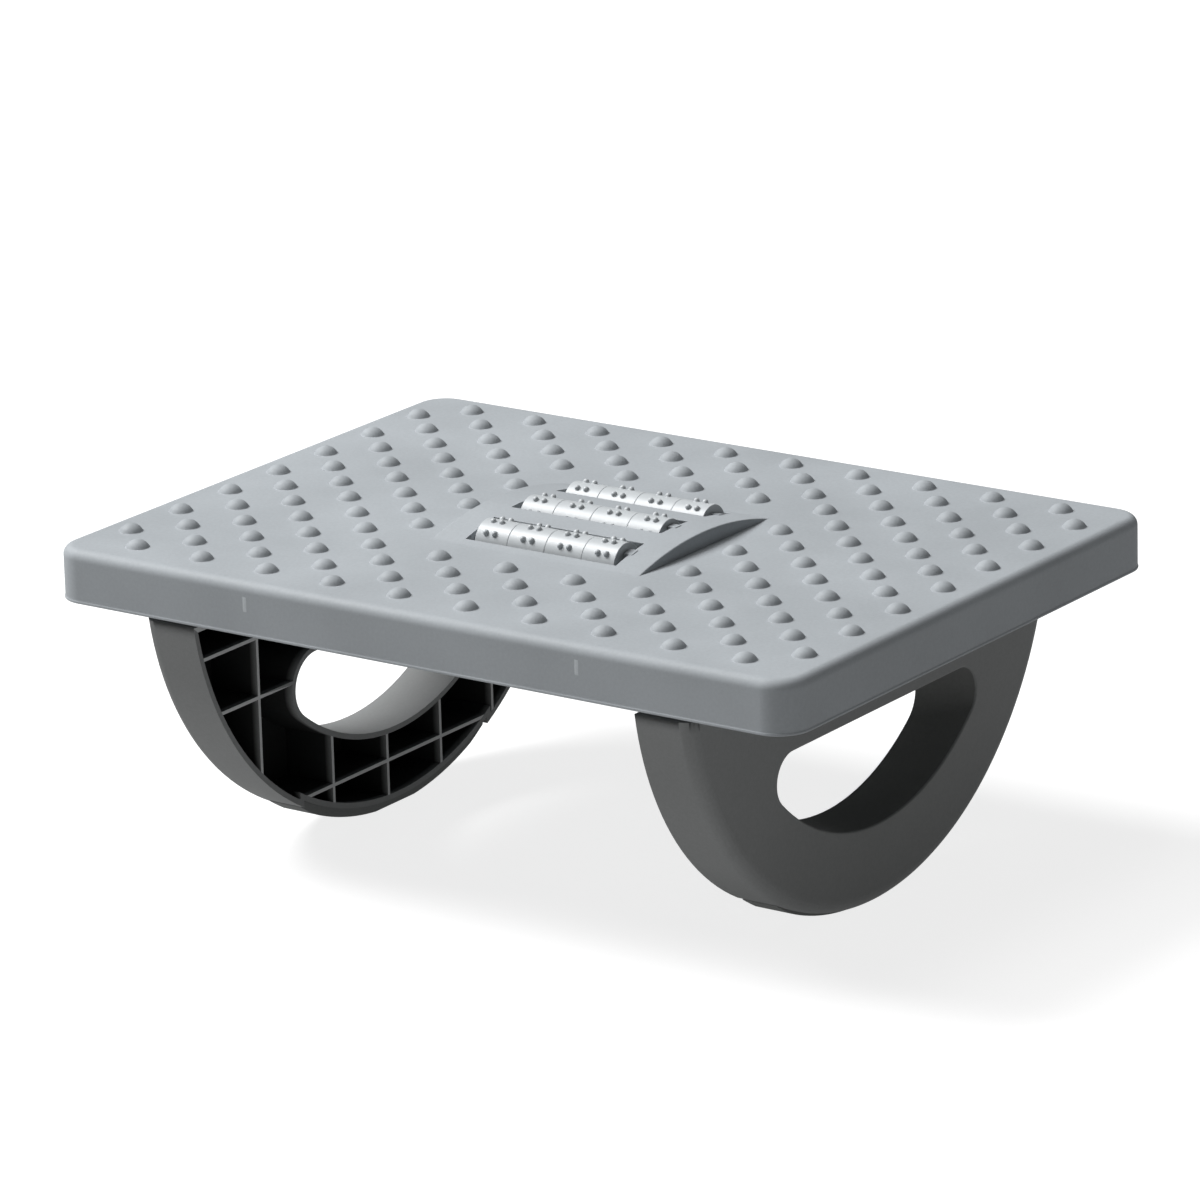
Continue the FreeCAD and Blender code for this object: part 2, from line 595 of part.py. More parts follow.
def make_ring(index, name):
    """One studded ring of a roller, hollow towards its neighbours, with a six-sided bore."""
    middle = (index - (RING_COUNT - 1) / 2) * RING_PITCH
    start = max(middle - RING_LENGTH / 2, -ROLLER_HALF_LENGTH)
    end = min(middle + RING_LENGTH / 2, ROLLER_HALF_LENGTH)
    ring = cylinder_x(RING_RADIUS, start, end, 0, 0)
    rims = edges_at_x(ring, start, Part.Circle) + edges_at_x(ring, end, Part.Circle)
    ring = ring.makeFillet(RING_EDGE_ROUND, rims)
    recesses = []
    spans = []
    if index > 0:
        spans.append((start - 1, start + RING_RECESS_DEPTH))
    if index < RING_COUNT - 1:
        spans.append((end - RING_RECESS_DEPTH, end + 1))
    for x0, x1 in spans:
        outer = cylinder_x(RING_RADIUS - RING_SHELL, x0, x1, 0, 0)
        recesses.append(outer.cut(cylinder_x(RING_HUB_RADIUS, x0, x1, 0, 0)))
    ring = ring.cut(recesses)
    ring = fuse_all(ring, ring_pimples(middle, PIMPLE_FIRST_TURNS[name]))
    ring = ring.cut(six_sided_bar(CORE_FLATS + 2 * CORE_CLEARANCE, start - 1, end + 1))
    y, z = roller_axis(name)
    ring.translate(Vector(0, y, z))
    return ring


def make_core(name):
    """Six-sided core of a roller with a round journal at each end."""
    core = six_sided_bar(CORE_FLATS, -CORE_HALF_LENGTH, CORE_HALF_LENGTH)
    reach = CORE_HALF_LENGTH + JOURNAL_LENGTH
    core = fuse_all(core, [cylinder_x(JOURNAL_RADIUS, -reach, reach, 0, 0)])
    y, z = roller_axis(name)
    core.translate(Vector(0, y, z))
    return core


def make_retainer():
    """Right-hand retainer: bar under the bearing wall with a tongue up to each journal."""
    half = RETAINER_WIDTH / 2
    x0 = BEARING_MID_X - half
    x1 = BEARING_MID_X + half
    length = BEARING_WALL_HALF_LENGTH
    bar = box(x0, x1, -length, length, RETAINER_Z, BEARING_WALL_Z)
    upright = [e for e in bar.Edges if e.BoundBox.ZLength > RETAINER_THICKNESS / 2]
    bar = bar.makeFillet(RETAINER_CORNER_RADIUS, upright)
    tongues = []
    cuts = []
    for name in ROLLER_NAMES:
        y, z = roller_axis(name)
        width = JOURNAL_RADIUS + JOURNAL_CLEARANCE - RETAINER_TONGUE_CLEARANCE
        inner = SLOT_HALF_LENGTH
        outer = BEARING_OUTER_X - BEARING_END_WALL - RETAINER_TONGUE_CLEARANCE
        tongues.append(box(inner, outer, y - width, y + width, RETAINER_Z + 1, z))
        cuts.append(cylinder_x(JOURNAL_RADIUS + JOURNAL_CLEARANCE, inner - 1, outer + 1, y, z))
    for y in RETAINER_SCREW_ROWS:
        radius = SMALL_SCREW_RADIUS + SCREW_PASS_CLEARANCE
        cuts.append(cylinder_z(radius, BEARING_MID_X, y, RETAINER_Z - 1, BEARING_WALL_Z + 1))
    return fuse_all(bar, tongues).cut(cuts)


# Screws.

def screw(x, y, seat_z, radius, length, head_radius, head_height):
    """Pan-head screw driven upwards, its head under seat_z, with a cross slot."""
    head = cylinder_z(head_radius, x, y, seat_z - head_height, seat_z)
    lower = [e for e in head.Edges if e.BoundBox.ZMax < seat_z - head_height + 1e-4]
    head = head.makeFillet(HEAD_EDGE_ROUND, lower)
    body = head.fuse(cylinder_z(radius, x, y, seat_z - GROWN_IN, seat_z + length))
    half = DRIVE_SLOT_WIDTH / 2
    arm = DRIVE_SLOT_LENGTH / 2
    z0 = seat_z - head_height - 1
    z1 = seat_z - head_height + DRIVE_SLOT_DEPTH
    cross = box(x - arm, x + arm, y - half, y + half, z0, z1)
    cross = cross.fuse(box(x - half, x + half, y - arm, y + arm, z0, z1))
    return body.cut(cross).removeSplitter()


def make_retainer_screws():
    """Screws of the right-hand retainer."""
    return Part.makeCompound([
        screw(BEARING_MID_X, y, RETAINER_Z, SMALL_SCREW_RADIUS, SMALL_SCREW_LENGTH,
              SMALL_HEAD_RADIUS, SMALL_HEAD_HEIGHT)
        for y in RETAINER_SCREW_ROWS])


def make_rocker_screws():
    """Screws that hold the right-hand rocker up against the plate."""
    return Part.makeCompound([
        screw(ROCKER_MID_X, y, SCREW_SEAT_Z, LARGE_SCREW_RADIUS, LARGE_SCREW_LENGTH,
              LARGE_HEAD_RADIUS, LARGE_HEAD_HEIGHT)
        for y in ROCKER_SCREW_ROWS])


def export(shape, node):
    """Write one sub-part and print how it measures."""
    shape.exportStep("parts/" + node + ".step")
    bounds = shape.BoundBox
    print("%-24s solids %3d valid %s volume %10.1f  x %.1f %.1f  y %.1f %.1f  z %.1f %.1f" % (
        node, len(shape.Solids), shape.isValid(), shape.Volume, bounds.XMin, bounds.XMax,
        bounds.YMin, bounds.YMax, bounds.ZMin, bounds.ZMax))


def main():
    """Build every sub-part."""
    os.makedirs("parts", exist_ok=True)
    export(make_plate(), "top_plate")
    pairs = (
        ("rocker", make_rocker()),
        ("tread", make_tread()),
        ("retainer", make_retainer()),
        ("retainer_screws", make_retainer_screws()),
        ("rocker_screws", make_rocker_screws()))
    for name, shape in pairs:
        export(shape, name + "_right")
        export(turned_to_left(shape), name + "_left")
    for name in ROLLER_NAMES:
        export(make_core(name), "roller_core_" + name)
        for index in range(RING_COUNT):
            export(make_ring(index, name), "roller_ring_%s_%d" % (name, index + 1))


main()
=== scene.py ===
"""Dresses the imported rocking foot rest: a studded plate on two D-shaped rockers, with three rollers.

Every length is in metres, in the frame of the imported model: the origin is on the floor under the middle of
the plate, +X runs along the plate, +Y towards its back and +Z up.
"""
from __future__ import annotations

import logging
import math
from dataclasses import dataclass
from enum import Enum, IntEnum
from typing import Callable

import bmesh
import bpy
import numpy as np
from bpy.types import Material, Mesh, Node, NodeSocket, NodeTree, Object
from mathutils import Matrix, Vector

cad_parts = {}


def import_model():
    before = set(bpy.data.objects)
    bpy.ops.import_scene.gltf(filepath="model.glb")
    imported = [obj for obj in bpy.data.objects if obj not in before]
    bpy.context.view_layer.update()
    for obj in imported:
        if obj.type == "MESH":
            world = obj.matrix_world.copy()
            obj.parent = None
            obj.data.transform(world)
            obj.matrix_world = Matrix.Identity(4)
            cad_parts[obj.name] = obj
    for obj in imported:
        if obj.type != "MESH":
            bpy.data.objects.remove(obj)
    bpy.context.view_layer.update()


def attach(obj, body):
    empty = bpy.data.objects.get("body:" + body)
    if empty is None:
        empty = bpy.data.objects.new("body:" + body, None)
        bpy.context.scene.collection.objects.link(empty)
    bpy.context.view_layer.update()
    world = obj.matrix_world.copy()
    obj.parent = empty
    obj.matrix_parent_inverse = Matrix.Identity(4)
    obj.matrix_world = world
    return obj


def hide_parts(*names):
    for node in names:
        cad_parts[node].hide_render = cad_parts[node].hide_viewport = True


Triple = tuple[float, float, float]
LOG = logging.getLogger("foot_rest")
MM = 0.001
ROWS = ("front", "middle", "rear")
SIDES = ("left", "right")
RINGS_PER_ROLLER = 4
ROCKER_CENTRE = np.array([0.0, 163.11 * MM])
ROCKER_RADIUS = 162.31 * MM
WELD = 2e-6
CREASE = math.radians(30.0)
NOISE_LOW = 0.3
NOISE_HIGH = 0.7


class Slot(Enum):
    """Material slots of the record."""

    PLATE = "plate_plastic"
    ROCKER = "rocker_plastic"
    TREAD = "tread_rubber"
    ROLLER = "roller_plastic"
    RETAINER = "retainer_plastic"
    SCREW = "screw_steel"


class Zone(IntEnum):
    """Parts of a rocker's surface, each with its own material: painted shade in the cells, painted light on
    the rib edges, and on the hand hole's wall painted light on the left rocker and painted shade on the
    right.
    """

    OUTSIDE = 0
    CELL = 1
    RIB_EDGE = 2
    HAND_HOLE = 3


class Skin:
    """Grids of points that are welded into one mesh."""

    def __init__(self) -> None:
        """Starts with no points."""
        self.points: list[np.ndarray] = []
        self.faces: list[np.ndarray] = []
        self.count = 0

    def grid(self, points: np.ndarray, around: bool = False, turned: bool = False,
             keep: np.ndarray | None = None) -> None:
        """Adds a grid of points as quads.

        Args:
            points: Places on the grid, shaped rows x columns x 3, or copies x rows x columns x 3.
            around: Whether the last column joins the first.
            turned: Whether the faces look the other way.
            keep: Which cells stay, shaped rows - 1 x columns - 1. None keeps all.
        """
        copies = points if points.ndim == 4 else points[None]
        rows, columns = copies.shape[1:3]
        index = np.arange(rows * columns).reshape(rows, columns)
        if around:
            index = np.hstack([index, index[:, :1]])
        quads = np.stack([index[:-1, :-1], index[1:, :-1], index[1:, 1:], index[:-1, 1:]], axis=-1)
        quads = quads.reshape(-1, 4) if keep is None else quads[keep]
        if turned:
            quads = quads[:, ::-1]
        offsets = np.arange(len(copies))[:, None, None] * rows * columns
        self.points.append(copies.reshape(-1, 3))
        self.faces.append((quads[None] + offsets).reshape(-1, 4) + self.count)
        self.count += len(self.points[-1])

    def mesh(self, name: str) -> Mesh:
        """Welds the grids and shades them smooth.

        Args:
            name: Name of the mesh.

        Returns:
            The finished mesh.
        """
        mesh = bpy.data.meshes.new(name)
        mesh.from_pydata(np.vstack(self.points).tolist(), [], np.vstack(self.faces).tolist())
        tidy(mesh)
        return mesh


def stacked(x: np.ndarray, y: np.ndarray, z: np.ndarray) -> np.ndarray:
    """Stacks places along X, Y and Z into points, each stretched to the shape of the others."""
    return np.stack(np.broadcast_arrays(x, y, z), axis=-1)


def tidy(mesh: Mesh) -> None:
    """Welds a mesh, drops what has no area and shades it smooth, but for edges sharper than the crease.

    Args:
        mesh: The mesh, changed in place.
    """
    work = bmesh.new()
    work.from_mesh(mesh)
    bmesh.ops.remove_doubles(work, verts=work.verts, dist=WELD)
    bmesh.ops.dissolve_degenerate(work, dist=WELD / 2, edges=work.edges)
    work.to_mesh(mesh)
    work.free()
    mesh.polygons.foreach_set("use_smooth", np.ones(len(mesh.polygons), bool))
    mesh.set_sharp_from_angle(angle=CREASE)
    mesh.update()


def face_vectors(mesh: Mesh, name: str) -> np.ndarray:
    """Reads one vector of each face.

    Args:
        mesh: The mesh.
        name: Which vector, center or normal.

    Returns:
        The vectors, one row each.
    """
    values = np.empty(3 * len(mesh.polygons))
    mesh.polygons.foreach_get(name, values)
    return values.reshape(-1, 3)


def moulding_copy(node: str, keep: Callable[[np.ndarray, np.ndarray], np.ndarray] | None = None,
                  ) -> Mesh:
    """Copies a CAD node's mesh, welds it and shades it smooth.

    Args:
        node: Name of the node.
        keep: Says from the faces' centres and normals which faces stay. None keeps all.

    Returns:
        The copy.
    """
    mesh = bpy.data.objects[node].data.copy()
    mesh.name = node + "_copy"
    mesh.materials.clear()
    tidy(mesh)
    if keep is not None:
        gone = np.flatnonzero(~keep(face_vectors(mesh, "center"), face_vectors(mesh, "normal")))
        work = bmesh.new()
        work.from_mesh(mesh)
        work.faces.ensure_lookup_table()
        bmesh.ops.delete(work, geom=[work.faces[i] for i in gone.tolist()], context="FACES")
        work.to_mesh(mesh)
        work.free()
    return mesh


def piece(name: str, mesh: Mesh, material: Material, body: str, slot: Slot,
          *nodes: str) -> Object:
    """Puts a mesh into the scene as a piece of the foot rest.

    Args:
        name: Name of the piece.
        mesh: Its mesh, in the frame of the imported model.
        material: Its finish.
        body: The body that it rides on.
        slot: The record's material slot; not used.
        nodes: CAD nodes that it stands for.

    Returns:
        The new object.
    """
    made = bpy.data.objects.new(name, mesh)
    mesh.materials.clear()
    mesh.materials.append(material)
    bpy.context.scene.collection.objects.link(made)
    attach(made, body)
    if nodes:
        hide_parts(*nodes)
    LOG.info("%s: %d faces", name, len(mesh.polygons))
    return made


def finish_node(node: str, material: Material) -> None:
    """Gives a carried-over CAD node its finish.

    Args:
        node: Name of the node.
        material: Its finish.
    """
    target = bpy.data.objects[node]
    if not target.material_slots:
        target.data.materials.append(material)
    for held in target.material_slots:
        held.material = material
    LOG.info("%s: carried over", node)


class Shader:
    """A node tree that is being wired up."""

    def __init__(self, tree: NodeTree) -> None:
        """Takes the tree to work in.

        Args:
            tree: The tree.
        """
        self.tree = tree

    def node(self, kind: str, *first: object, **values: object) -> Node:
        """Adds a node and sets its inputs by name, or its properties where no input has the name.

        Args:
            kind: Type of the node.
            first: Values or sockets of its first inputs, in order.
            values: Values or sockets by name, with _ for a space.

        Returns:
            The node.
        """
        made = self.tree.nodes.new(kind)
        for key, value in values.items():
            name = key.replace("_", " ")
            if name in made.inputs:
                self.feed(made.inputs[name], value)
            else:
                setattr(made, key, value)
        for socket, value in zip(made.inputs, first):
            self.feed(socket, value)
        return made

    def feed(self, socket: NodeSocket, value: object) -> None:
        """Links a socket to an input, or sets the input's own value.

        Args:
            socket: The input.
            value: A socket or a value.
        """
        if isinstance(value, NodeSocket):
            self.tree.links.new(value, socket)
        else:
            socket.default_value = value


def blank_material(name: str) -> tuple[Material, Shader]:
    """Starts a material with an empty tree.

    Args:
        name: Name of the material.

    Returns:
        The material and its tree.
    """
    made = bpy.data.materials.new(name)
    made.use_nodes = True
    made.node_tree.nodes.clear()
    return made, Shader(made.node_tree)


def grain_group() -> NodeTree:
    """Builds the shared effect of a spark-eroded mould surface, once.

    Returns:
        A group that gives a height for bumps and masks of slow drift and fine speckle in tone.
    """
    found = bpy.data.node_groups.get("mould_grain")
    if found:
        return found
    tree = bpy.data.node_groups.new("mould_grain", "ShaderNodeTree")
    face = tree.interface
    shader = Shader(tree)
    for name in ("Grain Size", "Drift Size", "Speckle Size"):
        face.new_socket(name, in_out="INPUT", socket_type="NodeSocketFloat")
    inside = shader.node("NodeGroupInput")
    place = shader.node("ShaderNodeTexCoord")
    noises = []
    for output, size, detail, roughness in (
            ("Height", "Grain Size", 3.0, 0.6), ("Drift", "Drift Size", 2.0, 0.5),
            ("Speckle", "Speckle Size", 2.0, 0.7)):
        face.new_socket(output, in_out="OUTPUT", socket_type="NodeSocketFloat")
        scale = shader.node("ShaderNodeMath", 1.0, inside.outputs[size], operation="DIVIDE")
        noises.append(shader.node(
            "ShaderNodeTexNoise", Vector=place.outputs["Object"], Scale=scale.outputs[0], Detail=detail,
            Roughness=roughness))
    shader.node("NodeGroupOutput", *[noise.outputs[0] for noise in noises])
    return tree


@dataclass(frozen=True)
class Moulded:
    """A moulded plastic or rubber: its colour with slow drift and fine speckle, over a fine grain.

    Given a distance from the middle plane, the colour darkens from there outwards as painted shade, standing
    in for the shade deep in a rocker's cells.
    """

    name: str
    colour: Triple
    roughness: float
    specular: float = 0.5
    roughness_play: float = 0.04
    grain_size: float = 0.55 * MM
    grain_depth: float = 0.03 * MM
    drift_size: float = 60 * MM
    drift: float = 0.05
    speckle_size: float = 1.6 * MM
    speckle: float = 0.04
    fade_from: float = 0.0
    fade_over: float = 4.0 * MM
    fade_to: float = 0.1

    def material(self) -> Material:
        """Builds the finish as a material.

        Returns:
            The material.
        """
        made, shader = blank_material(self.name)
        grain = shader.node(
            "ShaderNodeGroup", node_tree=grain_group(), Grain_Size=self.grain_size,
            Drift_Size=self.drift_size, Speckle_Size=self.speckle_size)
        roughness = self.varied(shader, grain.outputs["Drift"], self.roughness, self.roughness_play)
        bump = shader.node(
            "ShaderNodeBump", Height=grain.outputs["Height"], Distance=self.grain_depth, Strength=1.0)
        surface = shader.node(
            "ShaderNodeBsdfPrincipled", Base_Color=self.toned(shader, grain), Roughness=roughness,
            Normal=bump.outputs[0], Specular_IOR_Level=self.specular)
        shader.node("ShaderNodeOutputMaterial", surface.outputs[0])
        return made

    def varied(self, shader: Shader, noise: NodeSocket, middle: float,
               play: float) -> NodeSocket:
        """Lets a value vary with a noise.

        Args:
            shader: The tree to work in.
            noise: The socket with the noise.
            middle: The value in the middle.
            play: How far it goes to either side.

        Returns:
            The socket with the value.
        """
        ranged = shader.node(
            "ShaderNodeMapRange", Value=noise, From_Min=NOISE_LOW, From_Max=NOISE_HIGH,
            To_Min=middle - play, To_Max=middle + play)
        return ranged.outputs[0]

    def toned(self, shader: Shader, grain: Node) -> NodeSocket:
        """Varies the colour a little over the surface, and darkens it as painted shade where a shade
        distance is given.

        Args:
            shader: The tree to work in.
            grain: The grain group's node.

        Returns:
            The socket with the colour.
        """
        slow = self.varied(shader, grain.outputs["Drift"], 1.0, self.drift)
        fine = self.varied(shader, grain.outputs["Speckle"], 1.0, self.speckle)
        both = shader.node("ShaderNodeMath", slow, fine, operation="MULTIPLY")
        scaled = shader.node(
            "ShaderNodeVectorMath", self.colour, operation="SCALE", Scale=both.outputs[0])
        return self.faded(shader, scaled.outputs[0]) if self.fade_from else scaled.outputs[0]

    def faded(self, shader: Shader, tone: NodeSocket) -> NodeSocket:
        """Darkens the colour with the distance from the middle plane, as painted shade.

        Args:
            shader: The tree to work in.
            tone: The socket with the full colour.

        Returns:
            The socket with the colour darkened by painted shade.
        """
        place = shader.node("ShaderNodeTexCoord")
        parts = shader.node("ShaderNodeSeparateXYZ", Vector=place.outputs["Object"])
        away = shader.node("ShaderNodeMath", parts.outputs["X"], operation="ABSOLUTE")
        share = shader.node(
            "ShaderNodeMapRange", Value=away.outputs[0], From_Min=self.fade_from,
            From_Max=self.fade_from + self.fade_over, To_Min=1.0, To_Max=self.fade_to)
        scaled = shader.node("ShaderNodeVectorMath", tone, operation="SCALE", Scale=share.outputs[0])
        return scaled.outputs[0]


@dataclass(frozen=True)
class PlatedSteel:
    """Zinc plated screw steel with faint turning marks."""

    name: str = "zinc_plated_screw"
    colour: Triple = (0.62, 0.63, 0.66)
    smooth: float = 0.22
    rough: float = 0.44
    marks_a_metre: float = 1400.0
    mark_depth: float = 0.01 * MM

    def material(self) -> Material:
        """Builds the finish as a material.

        Returns:
            The material.
        """
        made, shader = blank_material(self.name)
        place = shader.node("ShaderNodeTexCoord")
        marks = shader.node(
            "ShaderNodeTexNoise", Vector=place.outputs["Object"], Scale=self.marks_a_metre, Detail=3.0)
        roughness = shader.node(
            "ShaderNodeMapRange", Value=marks.outputs[0], To_Min=self.smooth, To_Max=self.rough)
        bump = shader.node(
            "ShaderNodeBump", Height=marks.outputs[0], Distance=self.mark_depth, Strength=0.6)
        surface = shader.node(
            "ShaderNodeBsdfPrincipled", Base_Color=(*self.colour, 1.0), Metallic=1.0,
            Roughness=roughness.outputs[0], Normal=bump.outputs[0])
        shader.node("ShaderNodeOutputMaterial", surface.outputs[0])
        return made


@dataclass(frozen=True)
class Finishes:
    """The foot rest's finishes, with painted shade and painted light for parts of the rockers."""

    plate: Material
    rocker: Material
    rocker_cell: Material
    rocker_edge: Material
    hole_left: Material
    hole_right: Material
    mark: Material
    tread: Material
    roller: Material
    retainer: Material
    screw: Material

    @classmethod
    def mix(cls) -> Finishes:
        """Mixes every finish.

        Returns:
            The finishes.
        """
        return cls(
            plate=Moulded("light_grey_abs", (0.334, 0.357, 0.376), 0.6, specular=0.25).material(),
            rocker=Moulded("dark_grey_polypropylene", (0.213, 0.219, 0.219), 0.6, specular=0.3).material(),
            # Painted shade: the cells' grey darkens deeper inside, away from the open face.
            rocker_cell=Moulded(
                "dark_grey_polypropylene_cell", (0.213, 0.219, 0.219), 0.8, specular=0.1,
                fade_from=131.0 * MM).material(),
            # Painted light: the ribs' edges in the open face get a lighter grey for the light they catch.
            rocker_edge=Moulded(
                "dark_grey_polypropylene_edge", (0.5, 0.51, 0.51), 0.6, specular=0.3).material(),
            # Painted light on the left rocker's hand hole wall and painted shade on the right one's: a
            # lighter and a darker copy of the rocker's grey.
            hole_left=Moulded(
                "dark_grey_polypropylene_lit", (0.36, 0.368, 0.368), 0.6, specular=0.3).material(),
            hole_right=Moulded(
                "dark_grey_polypropylene_shaded", (0.15, 0.154, 0.15), 0.7, specular=0.2).material(),
            mark=Moulded("light_cool_grey_abs_mark", (0.47, 0.5, 0.52), 0.6, specular=0.25).material(),
            tread=Moulded("dark_grey_rubber", (0.19, 0.196, 0.194), 0.85, specular=0.2,
                          grain_depth=0.05 * MM).material(),
            roller=Moulded("pale_grey_abs", (0.46, 0.485, 0.5), 0.42, specular=0.5,
                           grain_depth=0.01 * MM, speckle=0.02).material(),
            retainer=Moulded("mid_grey_abs", (0.27, 0.29, 0.30), 0.5).material(),
            screw=PlatedSteel().material())


@dataclass(frozen=True)
class SoftBox:
    """A square soft box that looks at the plate."""

    name: str
    place: Triple
    power: float
    size: float = 2.4
    target: Triple = (0.0, 0.0, 0.12)

    def hang(self) -> None:
        """Puts the soft box into the scene."""
        data = bpy.data.lights.new(self.name, "AREA")
        data.shape = "SQUARE"
        data.size = self.size
        data.energy = self.power
        lamp = bpy.data.objects.new(self.name, data)
        bpy.context.scene.collection.objects.link(lamp)
        lamp.location = self.place
        aim = Vector(self.target) - Vector(self.place)
        lamp.rotation_euler = aim.to_track_quat("-Z", "Y").to_euler()


@dataclass(frozen=True)
class Studio:
    """Pale floor, soft lights and the camera at the photograph's viewpoint.

    The floor has a grey and a glow for the camera and others for the light that it gives the foot rest.
    """

    floor_size: float = 14.0
    seen_grey: float = 0.35
    seen_glow: float = 0.8
    given_grey: float = 0.3
    given_glow: float = 0.26
    sky: float = 0.095
    soft_boxes: tuple[SoftBox, ...] = (
        SoftBox("key_soft_box", (-3.09, -0.89, 3.95), 359.0),
        SoftBox("top_soft_box", (-0.99, -0.62, 4.47), 58.0))
    camera_place: Triple = (1.96903, -2.76537, 1.18126)
    camera_target: Triple = (0.067955, -0.097304, 0.166)
    camera_roll: float = math.radians(-1.5438)
    lens_mm: float = 215.511
    sensor_mm: float = 36.0
    view_depth: float = 50.0

    def camera(self) -> None:
        """Places the camera, turned about its line of sight by its roll."""
        data = bpy.data.cameras.new("photo_camera")
        data.lens = self.lens_mm
        data.sensor_width = self.sensor_mm
        data.clip_end = self.view_depth
        holder = bpy.data.objects.new("photo_camera", data)
        bpy.context.scene.collection.objects.link(holder)
        place = Vector(self.camera_place)
        ahead = (Vector(self.camera_target) - place).normalized()
        right = ahead.cross(Vector((0, 0, 1))).normalized()
        above = right.cross(ahead)
        cosine, sine = math.cos(self.camera_roll), math.sin(self.camera_roll)
        turned_right = cosine * right + sine * above
        turned_above = cosine * above - sine * right
        turn = Matrix((turned_right, turned_above, -ahead)).transposed()
        holder.matrix_world = Matrix.Translation(place) @ turn.to_4x4()
        bpy.context.scene.camera = holder

    def lights(self) -> None:
        """Hangs the soft boxes and lights the sky dimly."""
        for soft_box in self.soft_boxes:
            soft_box.hang()
        world = bpy.data.worlds.new("studio")
        world.use_nodes = True
        background = world.node_tree.nodes["Background"]
        background.inputs["Color"].default_value = (1.0, 1.0, 1.0, 1.0)
        background.inputs["Strength"].default_value = self.sky
        bpy.context.scene.world = world

    def glowing(self, shader: Shader, grey: float, glow: float) -> NodeSocket:
        """Adds a glow to a diffuse grey.

        Args:
            shader: The tree to work in.
            grey: The grey.
            glow: Strength of the glow.

        Returns:
            The socket with the sum.
        """
        diffuse = shader.node("ShaderNodeBsdfDiffuse", Color=(grey, grey, grey, 1.0))
        emission = shader.node("ShaderNodeEmission", Color=(1.0, 1.0, 1.0, 1.0), Strength=glow)
        return shader.node("ShaderNodeAddShader", diffuse.outputs[0], emission.outputs[0]).outputs[0]

    def floor(self) -> None:
        """Lays a pale floor, kept near white to the eye so that its shadows stay light."""
        half = self.floor_size / 2
        corners = [(-half, -half, 0.0), (half, -half, 0.0), (half, half, 0.0), (-half, half, 0.0)]
        mesh = bpy.data.meshes.new("floor")
        mesh.from_pydata(corners, [], [(0, 1, 2, 3)])
        made, shader = blank_material("pale_floor")
        path = shader.node("ShaderNodeLightPath")
        mixed = shader.node(
            "ShaderNodeMixShader", path.outputs["Is Camera Ray"],
            self.glowing(shader, self.given_grey, self.given_glow),
            self.glowing(shader, self.seen_grey, self.seen_glow))
        shader.node("ShaderNodeOutputMaterial", mixed.outputs[0])
        mesh.materials.append(made)
        laid = bpy.data.objects.new("floor", mesh)
        bpy.context.scene.collection.objects.link(laid)

    def build(self) -> None:
        """Sets up the whole studio."""
        self.floor()
        self.lights()
        self.camera()
        view = bpy.context.scene.view_settings
        view.view_transform = "Standard"
        view.look = "None"


def rounded_rectangle(half_length: float, half_width: float, radius: float, corner_steps: int,
                      side_steps: int) -> np.ndarray:
    """Walks round a rectangle with rounded corners, anticlockwise seen from above.

    Each quarter is an arc about its corner's centre, (cos a, sin a) times the radius, and the straight
    sides between them are split evenly.

    Args:
        half_length: Half its size along X.
        half_width: Half its size along Y.
        radius: Radius of its corners.
        corner_steps: Steps in each corner.
        side_steps: Steps in each side.

    Returns:
        Points, one row of X and Y each, the last not the same as the first.
    """
    turn = np.linspace(0, math.pi / 2, corner_steps + 1)
    points = []
    for quarter, (sx, sy) in enumerate(((1, 1), (-1, 1), (-1, -1), (1, -1))):
        centre = np.array([sx * (half_length - radius), sy * (half_width - radius)])
        angle = turn + quarter * math.pi / 2
        points.append(centre + radius * np.column_stack([np.cos(angle), np.sin(angle)]))
    walked = []
    share = np.linspace(0, 1, side_steps + 1)[1:-1, None]
    for quarter in range(4):
        here = points[quarter]
        there = points[(quarter + 1) % 4][0]
        walked.append(here)
        walked.append(here[-1] + (there - here[-1]) * share)
    return np.vstack(walked)


@dataclass(frozen=True)
class Dome:
    """A low dome on a surface, its foot flared into the surface."""

    diameter: float
    height: float
    flare: float
    sunk: float
    rows: int
    sides: int
    flare_rows: int = 3

    def grid(self) -> np.ndarray:
        """Works out the dome about the Z axis, from its top out to its foot.

        The dome is the cap of a ball of radius R = (r^2 + h^2) / 2h, whose centre is R - h under the
        surface. The flare is part of a circle that touches both the ball and the surface, and it takes over
        at the angle from the vertical whose cosine is (flare + R - h) / (R + flare).

        Returns:
            Points shaped rows x sides x 3.
        """
        ball = ((self.diameter / 2) ** 2 + self.height ** 2) / (2 * self.height)
        turn = math.acos((self.flare + ball - self.height) / (ball + self.flare))
        reach = (ball + self.flare) * math.sin(turn)
        upper = np.linspace(0.0, turn, self.rows + 1)
        lower = np.linspace(turn, 0.0, self.flare_rows + 1)[1:]
        radii = np.concatenate([ball * np.sin(upper), reach - self.flare * np.sin(lower), [reach]])
        heights = np.concatenate([
            self.height - ball + ball * np.cos(upper), self.flare * (1 - np.cos(lower)), [-self.sunk]])
        around = np.linspace(0.0, 2 * math.pi, self.sides, endpoint=False)
        return stacked(radii[:, None] * np.cos(around), radii[:, None] * np.sin(around), heights[:, None])

    def stood(self, places: np.ndarray, outwards: np.ndarray) -> np.ndarray:
        """Stands a dome on each place.

        A dome's own X stays along X, its Z goes along outwards and its Y along outwards x X.

        Args:
            places: Where the domes' feet are, one row each.
            outwards: Which way they point, one row each, square to X.

        Returns:
            Points shaped places x rows x sides x 3.
        """
        patch = self.grid()
        across = stacked(0.0, outwards[:, 2], -outwards[:, 1])
        return (places[:, None, None]
                + patch[..., :1] * np.array([1.0, 0.0, 0.0])
                + patch[..., 1:2] * across[:, None, None]
                + patch[..., 2:] * outwards[:, None, None])


